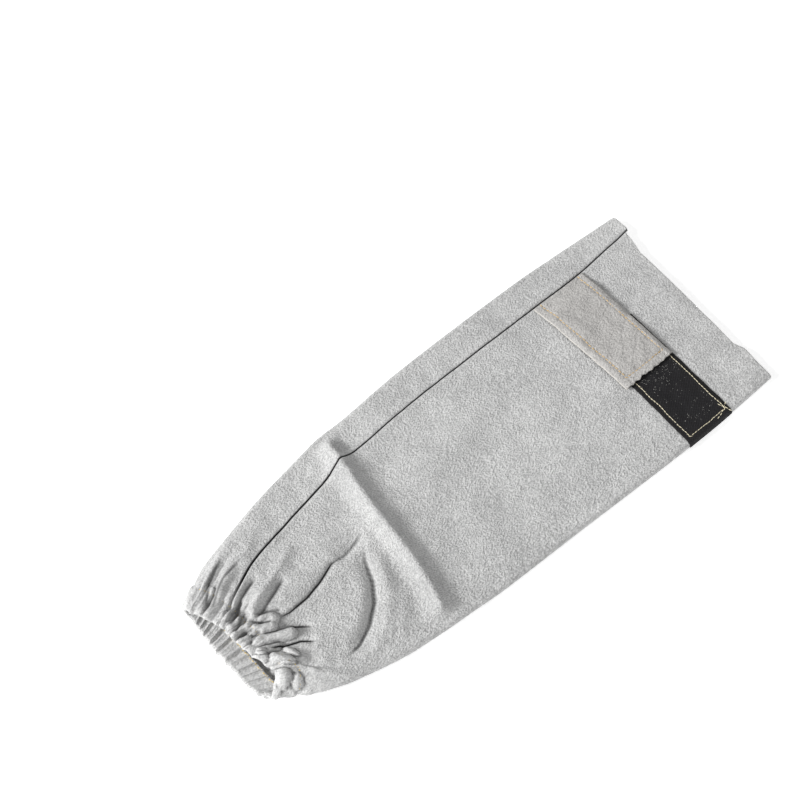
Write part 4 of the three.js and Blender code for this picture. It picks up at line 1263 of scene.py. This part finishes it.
def end_tree(tree, instances, thread, result, smooth):
    """Turns the instances into a plain mesh with its material, and ends the tree there."""
    mesh = add(tree, "GeometryNodeRealizeInstances", None, Geometry=instances).outputs[0]
    if smooth:
        mesh = add(tree, "GeometryNodeSetShadeSmooth", None, Geometry=mesh).outputs[0]
    done = add(tree, "GeometryNodeSetMaterial", None, Geometry=mesh, Material=thread).outputs[0]
    tree.links.new(done, result)


# %% Geometry nodes that sew a row of stitches
STITCH_SWING = (0.0, 0.05, 0.16)   # radians to either side that a stitch may lie askew
STITCH_SLIDE = (1.0, 1.0, 0.3)     # shares of the jitter that it may lie off the row


def sewing_tree():
    """Beads of thread along a path, each turned along it and lying on the hide."""
    tree, given, result = new_tree(
        "row_of_stitches", "Path", ("Pitch", "Stitch Length", "Thread Thickness", "Jitter"),
        "Thread", "Stitches")
    curve = add(tree, "GeometryNodeMeshToCurve", None, Mesh=given["Path"]).outputs[0]
    spaced = add(tree, "GeometryNodeResampleCurve", {"mode": "LENGTH"}, Curve=curve,
                 Length=given["Pitch"]).outputs[0]
    tangent = add(tree, "GeometryNodeInputTangent").outputs[0]
    out = add(tree, "GeometryNodeInputNamedAttribute", {"data_type": "FLOAT_VECTOR"},
              Name="out_of_hide").outputs[0]
    lying = add(tree, "FunctionNodeAxesToRotation", {"primary_axis": "X", "secondary_axis": "Z"},
                i0=tangent, i1=out).outputs[0]
    bead = add(tree, "GeometryNodeMeshUVSphere", None, Segments=8, Rings=6, Radius=0.5).outputs[0]
    stitch = stretched_bead(tree, bead, given["Stitch Length"], given["Thread Thickness"])
    laid = add(tree, "GeometryNodeInstanceOnPoints", None, Points=spaced, Instance=stitch,
               Rotation=lying).outputs[0]
    swing = random_vector(tree, given["Seed"], [-turn for turn in STITCH_SWING], STITCH_SWING)
    swung = add(tree, "GeometryNodeRotateInstances", None, Instances=laid, Rotation=swing).outputs[0]
    slide = random_vector(tree, given["Seed"], [-share for share in STITCH_SLIDE], STITCH_SLIDE)
    drift = add(tree, "ShaderNodeVectorMath", {"operation": "SCALE"}, i0=slide,
                Scale=given["Jitter"]).outputs[0]
    moved = add(tree, "GeometryNodeTranslateInstances", None, Instances=swung,
                Translation=drift).outputs[0]
    end_tree(tree, moved, given["Thread"], result, smooth=True)
    return tree


STITCHING = sewing_tree()
print("nodes in the sewing tree:", len(STITCHING.nodes))

# %% Run a tree and keep what it makes
def made_by_nodes(name, start_mesh, tree, values):
    """Runs a tree on a mesh and keeps the result as a plain mesh piece."""
    carrier = bpy.data.objects.new(name + "_carrier", start_mesh)
    bpy.context.scene.collection.objects.link(carrier)
    modifier = carrier.modifiers.new(name, "NODES")
    modifier.node_group = tree
    for item in tree.interface.items_tree:
        if item.in_out == "INPUT" and item.name in values:
            modifier[item.identifier] = values[item.name]
    bpy.context.view_layer.update()
    graph = bpy.context.evaluated_depsgraph_get()
    mesh = bpy.data.meshes.new_from_object(carrier.evaluated_get(graph))
    mesh.name = name
    piece = bpy.data.objects.new(name, mesh)
    bpy.context.scene.collection.objects.link(piece)
    bpy.data.objects.remove(carrier)
    return piece


def path_mesh(name, lines):
    """A mesh of open lines in mm, with the direction out of the hide on each point."""
    points, edges, outs = [], [], []
    for line, normals in lines:
        base = len(points)
        points.extend((np.asarray(line) * MM).tolist())
        outs.extend(np.asarray(normals).tolist())
        edges.extend((base + k, base + k + 1) for k in range(len(line) - 1))
    mesh = bpy.data.meshes.new(name)
    mesh.from_pydata(points, edges, [])
    layer = mesh.attributes.new("out_of_hide", "FLOAT_VECTOR", "POINT")
    layer.data.foreach_set("vector", np.array(outs, dtype=np.float32).ravel())
    return mesh


def sew(name, lines, pitch, length, thickness, thread, seed, jitter=0.0):
    """Sews stitches along the lines, with sizes in mm."""
    values = {"Pitch": pitch * MM, "Stitch Length": length * MM, "Thread Thickness": thickness * MM,
              "Jitter": jitter * MM, "Seed": seed, "Thread": thread}
    piece = made_by_nodes(name, path_mesh(name + "_path", lines), STITCHING, values)
    print(name + ":", len(piece.data.polygons), "faces")
    return piece


# %% Lines for the rows of stitches
TAB_THREAD_LIFT = 0.35      # how far the tab's stitches stand out of their dip
TAB_SEAM_STITCH = 2.0       # from the seam to the first stitch on the tab
TAB_SWAY = 0.35             # how far the rows wander
PATCH_INSET = 4.2           # from the loop tape's edges to its stitching
PATCH_START = TAB_LENGTH - LOOP_OVERLAP + 4
PATCH_FAR_INSET = 2.0       # from the rolled far edge to the stitching across the tape
PATCH_LIFT = 0.15
CASING_STITCH_CLEARANCE = 0.35   # keeps the stitches under the floor side off the floor
HEM_STITCH_INSET = 1.8      # from the casing's start to its stitching, seen in the mouth
CASING_POINTS = 420


def laid_line(corners, lift, step=1.0, sway=0.0, seed=1):
    """A line over the top layer through corners of (along, distance from the seam)."""
    corners = np.array(corners, float)
    pieces = []
    for start, end in zip(corners[:-1], corners[1:]):
        count = max(int(np.linalg.norm(end - start) / step), 1)
        pieces.append(start + (end - start) * (np.arange(count) / count)[:, None])
    route = np.concatenate(pieces + [corners[-1:]])
    run = np.arange(len(route)) * step
    route[:, 0] += sway * unevenness(run, 0 * run, 26, seed)
    route[:, 1] += sway * unevenness(run, 0 * run, 31, seed + 1)
    height = lift(route[:, 1]) if callable(lift) else lift
    return laid_points(route[:, 0], route[:, 1], height)


def tab_stitch_height(distance):
    """Height of the thread on the tab over the hide."""
    return tab_lift(distance) + HIDE - STITCH_DIP + TAB_THREAD_LIFT


def tab_stitch_line():
    """Along the tab, across its free end and back."""
    near_end = TAB_LENGTH - TAB_END_STITCH
    near_seam = TAB_SEAM_STITCH
    start_in, _ = tab_edges(near_seam, TAB_EDGE_STITCH)
    start_out, _ = tab_edges(near_end, TAB_EDGE_STITCH)
    _, end_in = tab_edges(near_seam, TAB_CUFF_STITCH)
    _, end_out = tab_edges(near_end, TAB_CUFF_STITCH)
    corners = [(end_in, near_seam), (end_out, near_end), (start_out, near_end), (start_in, near_seam)]
    return laid_line(corners, tab_stitch_height, sway=TAB_SWAY, seed=51)


def patch_stitch_lines():
    """Round the loop tape, with the two short rows that cross at its corner."""
    low = LOOP_MIDDLE - LOOP_WIDTH / 2 + PATCH_INSET
    high = LOOP_MIDDLE + LOOP_WIDTH / 2 - PATCH_INSET
    _, _, _, fold_side, seam_line = (float(v) for v in section_at(np.array(float(LOOP_MIDDLE))))
    far = seam_line - fold_side - PATCH_FAR_INSET
    height = LOOP_LIFT + LOOP_TAPE + PATCH_LIFT
    round_tape = [(high, PATCH_START), (high, far), (low, far + 0.6), (low, PATCH_START)]
    tail = [(low - 3.6, far - 3.0), (low + 4.0, far + 1.4), (low + 10.0, far + 2.4)]
    second = [(low - 2.6, far + 3.4), (low + 1.6, far - 5.0)]
    return [laid_line(round_tape, height, sway=0.4, seed=61),
            laid_line(tail, height + 0.1, sway=0.3, seed=62),
            laid_line(second, height + 0.2, seed=63)]


def cuff_stitch_lines():
    """The casing's stitching, seen in the mouth on the hem and outside in the valleys."""
    around = np.linspace(0.02, len(ZONES) - 0.02, CASING_POINTS)
    inside, inner_normals = skin(CASING_START + HEM_STITCH_INSET, around, CUFF_STACK + 0.12)
    outside, outer_normals = skin(CASING_START, around, 0.25)
    outside[:, 2] = np.maximum(outside[:, 2], CASING_STITCH_CLEARANCE)
    return [(inside, -inner_normals)], [(outside, outer_normals)]


# %% Sew the rows on the tab, round the loop tape and at the cuff
tab_stitches = sew("tab_stitches", [tab_stitch_line()], pitch=3.9, length=3.3, thickness=0.55,
                   thread=orange_thread, seed=3, jitter=0.15)
patch_stitches = sew("patch_stitches", patch_stitch_lines(), pitch=3.1, length=3.2, thickness=0.6,
                     thread=cream_thread, seed=4, jitter=0.12)
hem_lines, casing_lines = cuff_stitch_lines()
hem_stitches = sew("hem_stitches", hem_lines, pitch=3.8, length=2.9, thickness=0.7,
                   thread=yellow_thread, seed=5, jitter=0.15)
casing_stitches = sew("casing_stitches", casing_lines, pitch=3.8, length=1.8, thickness=0.5,
                      thread=yellow_thread, seed=6, jitter=0.15)

# %% [markdown]
# ## Fibre caught in the loop pile
# Used loop tape holds pale flecks of suede. A second tree scatters short fibres on the pile,
# more of them beside the tab, by a density kept on the mesh.

# %% Geometry nodes that scatter fibres
FIBRE_TILT = (0.0, 0.2, 3.14)      # radians to either side that a fibre may be turned
FIBRE_SIZES = (0.5, 1.5)           # smallest and largest, as a share of the usual size


def scatter_tree():
    """Short fibres on the faces of a mesh, as dense as its points say."""
    tree, given, result = new_tree(
        "caught_fibres", "Pile", ("Density", "Fibre Length", "Fibre Thickness"), "Fibre", "Fibres")
    share = add(tree, "GeometryNodeInputNamedAttribute", {"data_type": "FLOAT"},
                Name="caught").outputs[0]
    density = compute(tree, "MULTIPLY", share, given["Density"])
    points = add(tree, "GeometryNodeDistributePointsOnFaces", None, Mesh=given["Pile"],
                 Density=density, Seed=given["Seed"]).outputs[0]
    bead = add(tree, "GeometryNodeMeshIcoSphere", None, Radius=0.5, Subdivisions=1).outputs[0]
    fibre = stretched_bead(tree, bead, given["Fibre Length"], given["Fibre Thickness"])
    spin = random_vector(tree, given["Seed"], [-turn for turn in FIBRE_TILT], FIBRE_TILT)
    scale = add(tree, "FunctionNodeRandomValue", {"data_type": "FLOAT"}, Seed=given["Seed"],
                i2=FIBRE_SIZES[0], i3=FIBRE_SIZES[1]).outputs[1]
    laid = add(tree, "GeometryNodeInstanceOnPoints", None, Points=points, Instance=fibre,
               Rotation=spin, Scale=scale).outputs[0]
    end_tree(tree, laid, given["Fibre"], result, smooth=False)
    return tree


# %% Scatter them on the open face of the pile
PILE_GRID = (40, 24)
PILE_LENGTH = 62            # from the tab's end to the last of the pile
CATCH_REACH = 14            # how far from the tab most fibres are caught
FAR_CATCH = dict(share=0.35, at=52, reach=7)   # and how many beside the far edge
FIBRES_PER_M2 = 420000
FIBRE_LENGTH, FIBRE_THICKNESS = 0.5, 0.3


def pile_face_mesh():
    """The open face of the pile, from the tab's end to the far edge, with how much it catches."""
    distance = np.linspace(TAB_LENGTH + 1, TAB_LENGTH + PILE_LENGTH, PILE_GRID[0])[:, None]
    half = LOOP_WIDTH / 2 - PATCH_INSET - 1
    along = np.linspace(LOOP_MIDDLE - half, LOOP_MIDDLE + half, PILE_GRID[1])[None, :] + 0 * distance
    distance = distance + 0 * along
    points, _ = laid_points(along, distance, LOOP_LIFT + LOOP_TAPE + 0.22)
    quads = grid_quads(*along.shape)[0][:, [0, 3, 2, 1]]    # wound the other way round
    past_tab = distance - TAB_LENGTH
    near_tab = np.exp(-(past_tab / CATCH_REACH) ** 2)
    far_end = FAR_CATCH["share"] * np.exp(-((past_tab - FAR_CATCH["at"]) / FAR_CATCH["reach"]) ** 2)
    patchy = ease(unevenness(along, distance, 9, 71), -0.9, 0.9)
    caught = (near_tab + far_end + 0.08) * patchy
    mesh = bpy.data.meshes.new("pile_face")
    mesh.from_pydata((points.reshape(-1, 3) * MM).tolist(), [], quads.tolist())
    layer = mesh.attributes.new("caught", "FLOAT", "POINT")
    layer.data.foreach_set("value", np.ascontiguousarray(caught, dtype=np.float32).ravel())
    return mesh


caught_fibres = made_by_nodes("caught_fibres", pile_face_mesh(), scatter_tree(), {
    "Density": FIBRES_PER_M2, "Fibre Length": FIBRE_LENGTH * MM,
    "Fibre Thickness": FIBRE_THICKNESS * MM, "Seed": 12, "Fibre": fuzz_fibre})
print("fibres:", len(caught_fibres.data.polygons) // 20)

# %% [markdown]
# ## What each piece stands for
# Every piece rides on the one body. The five large ones take the place of the frame's solids.

# %% Tie the pieces to the frame
STANDS_FOR = [
    (leather_sleeve, "sleeve_panel", "split_leather"),
    (leather_tab, "closure_tab", "tab_leather"),
    (hook_tape, "tab_hook_strip", "hook_tape"),
    (loop_tape, "loop_patch", "loop_tape"),
    (elastic_band, "cuff_elastic", "elastic_band"),
]
TRIMMINGS = [
    (tab_stitches, "tab_leather"), (patch_stitches, "loop_tape"), (hem_stitches, "split_leather"),
    (casing_stitches, "split_leather"), (caught_fibres, "loop_tape"),
]

for piece, node, slot in STANDS_FOR:
    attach(piece, "root")
    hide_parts(node)
for piece, slot in TRIMMINGS:
    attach(piece, "root")
print("pieces:", len(STANDS_FOR) + len(TRIMMINGS))

# %% [markdown]
# ## Studio
# The sleeve lies on a white sweep that glows a little, so it stays white beside the hide. A
# large soft light from the cuff's side models the folds, and a broad one overhead and a weak
# one from the far edge fill the shadows. The camera looks down at it at sixty degrees, past
# the cuff and the far edge, with a long lens.

# %% Floor and lights, in metres and watts
FLOOR_SIZE = 24.0
FLOOR_GLOW = 0.5
SKY_STRENGTH = 0.26
LIGHTS = [
    dict(name="key", at=(-5.9, 2.6, 3.9), size=2.6, power=690),
    dict(name="overhead", at=(0.2, -0.2, 4.6), size=4.5, power=36),
    dict(name="fill", at=(1.5, -5.8, 2.6), size=3.5, power=70),
]


def build_floor():
    """A white sweep that every shadow falls on."""
    half = FLOOR_SIZE / 2
    corners = [(-half, -half, 0), (half, -half, 0), (half, half, 0), (-half, half, 0)]
    mesh = bpy.data.meshes.new("floor")
    mesh.from_pydata(corners, [], [(0, 1, 2, 3)])
    floor = bpy.data.objects.new("floor", mesh)
    bpy.context.scene.collection.objects.link(floor)
    material, _, shader = new_material("white_paper_sweep")
    set_finish(shader, Base_Color=linear("#FCFCFC"), Roughness=0.9,
               Emission_Color=linear("#FFFFFF"), Emission_Strength=FLOOR_GLOW)
    mesh.materials.append(material)


def build_light(name, at, size, power):
    """A round soft light that points at the middle of the sleeve."""
    light = bpy.data.lights.new(name, "AREA")
    light.shape = "DISK"
    light.size = size
    light.energy = power
    lamp = bpy.data.objects.new(name, light)
    lamp.location = at
    lamp.rotation_euler = (-Vector(at)).to_track_quat("-Z", "Y").to_euler()
    bpy.context.scene.collection.objects.link(lamp)


def build_sky():
    """An even white light from everywhere."""
    world = bpy.data.worlds.new("studio")
    world.use_nodes = True
    background = world.node_tree.nodes["Background"]
    background.inputs["Color"].default_value = (1, 1, 1, 1)
    background.inputs["Strength"].default_value = SKY_STRENGTH
    bpy.context.scene.world = world


build_floor()
for light in LIGHTS:
    build_light(**light)
build_sky()
print("lights:", len(LIGHTS))

# %% Camera, in metres
CAMERA_AT = (-0.5492, -0.5617, 1.4689)
LOOKS_ALONG = (0.6465, 0.763)    # its heading over the floor
LOOKS_DOWN = math.radians(60)
LENS_MM, SENSOR_MM = 90, 36


def build_camera():
    """The camera that the photo's view comes from."""
    lens = bpy.data.cameras.new("camera")
    lens.lens = LENS_MM
    lens.sensor_width = SENSOR_MM
    eye = bpy.data.objects.new("camera", lens)
    eye.location = CAMERA_AT
    level = math.cos(LOOKS_DOWN)
    heading = Vector((LOOKS_ALONG[0] * level, LOOKS_ALONG[1] * level, -math.sin(LOOKS_DOWN)))
    eye.rotation_euler = heading.to_track_quat("-Z", "Y").to_euler()
    bpy.context.scene.collection.objects.link(eye)
    bpy.context.scene.camera = eye


build_camera()
bpy.context.scene.view_settings.view_transform = "Standard"
print("camera lens:", LENS_MM, "mm")
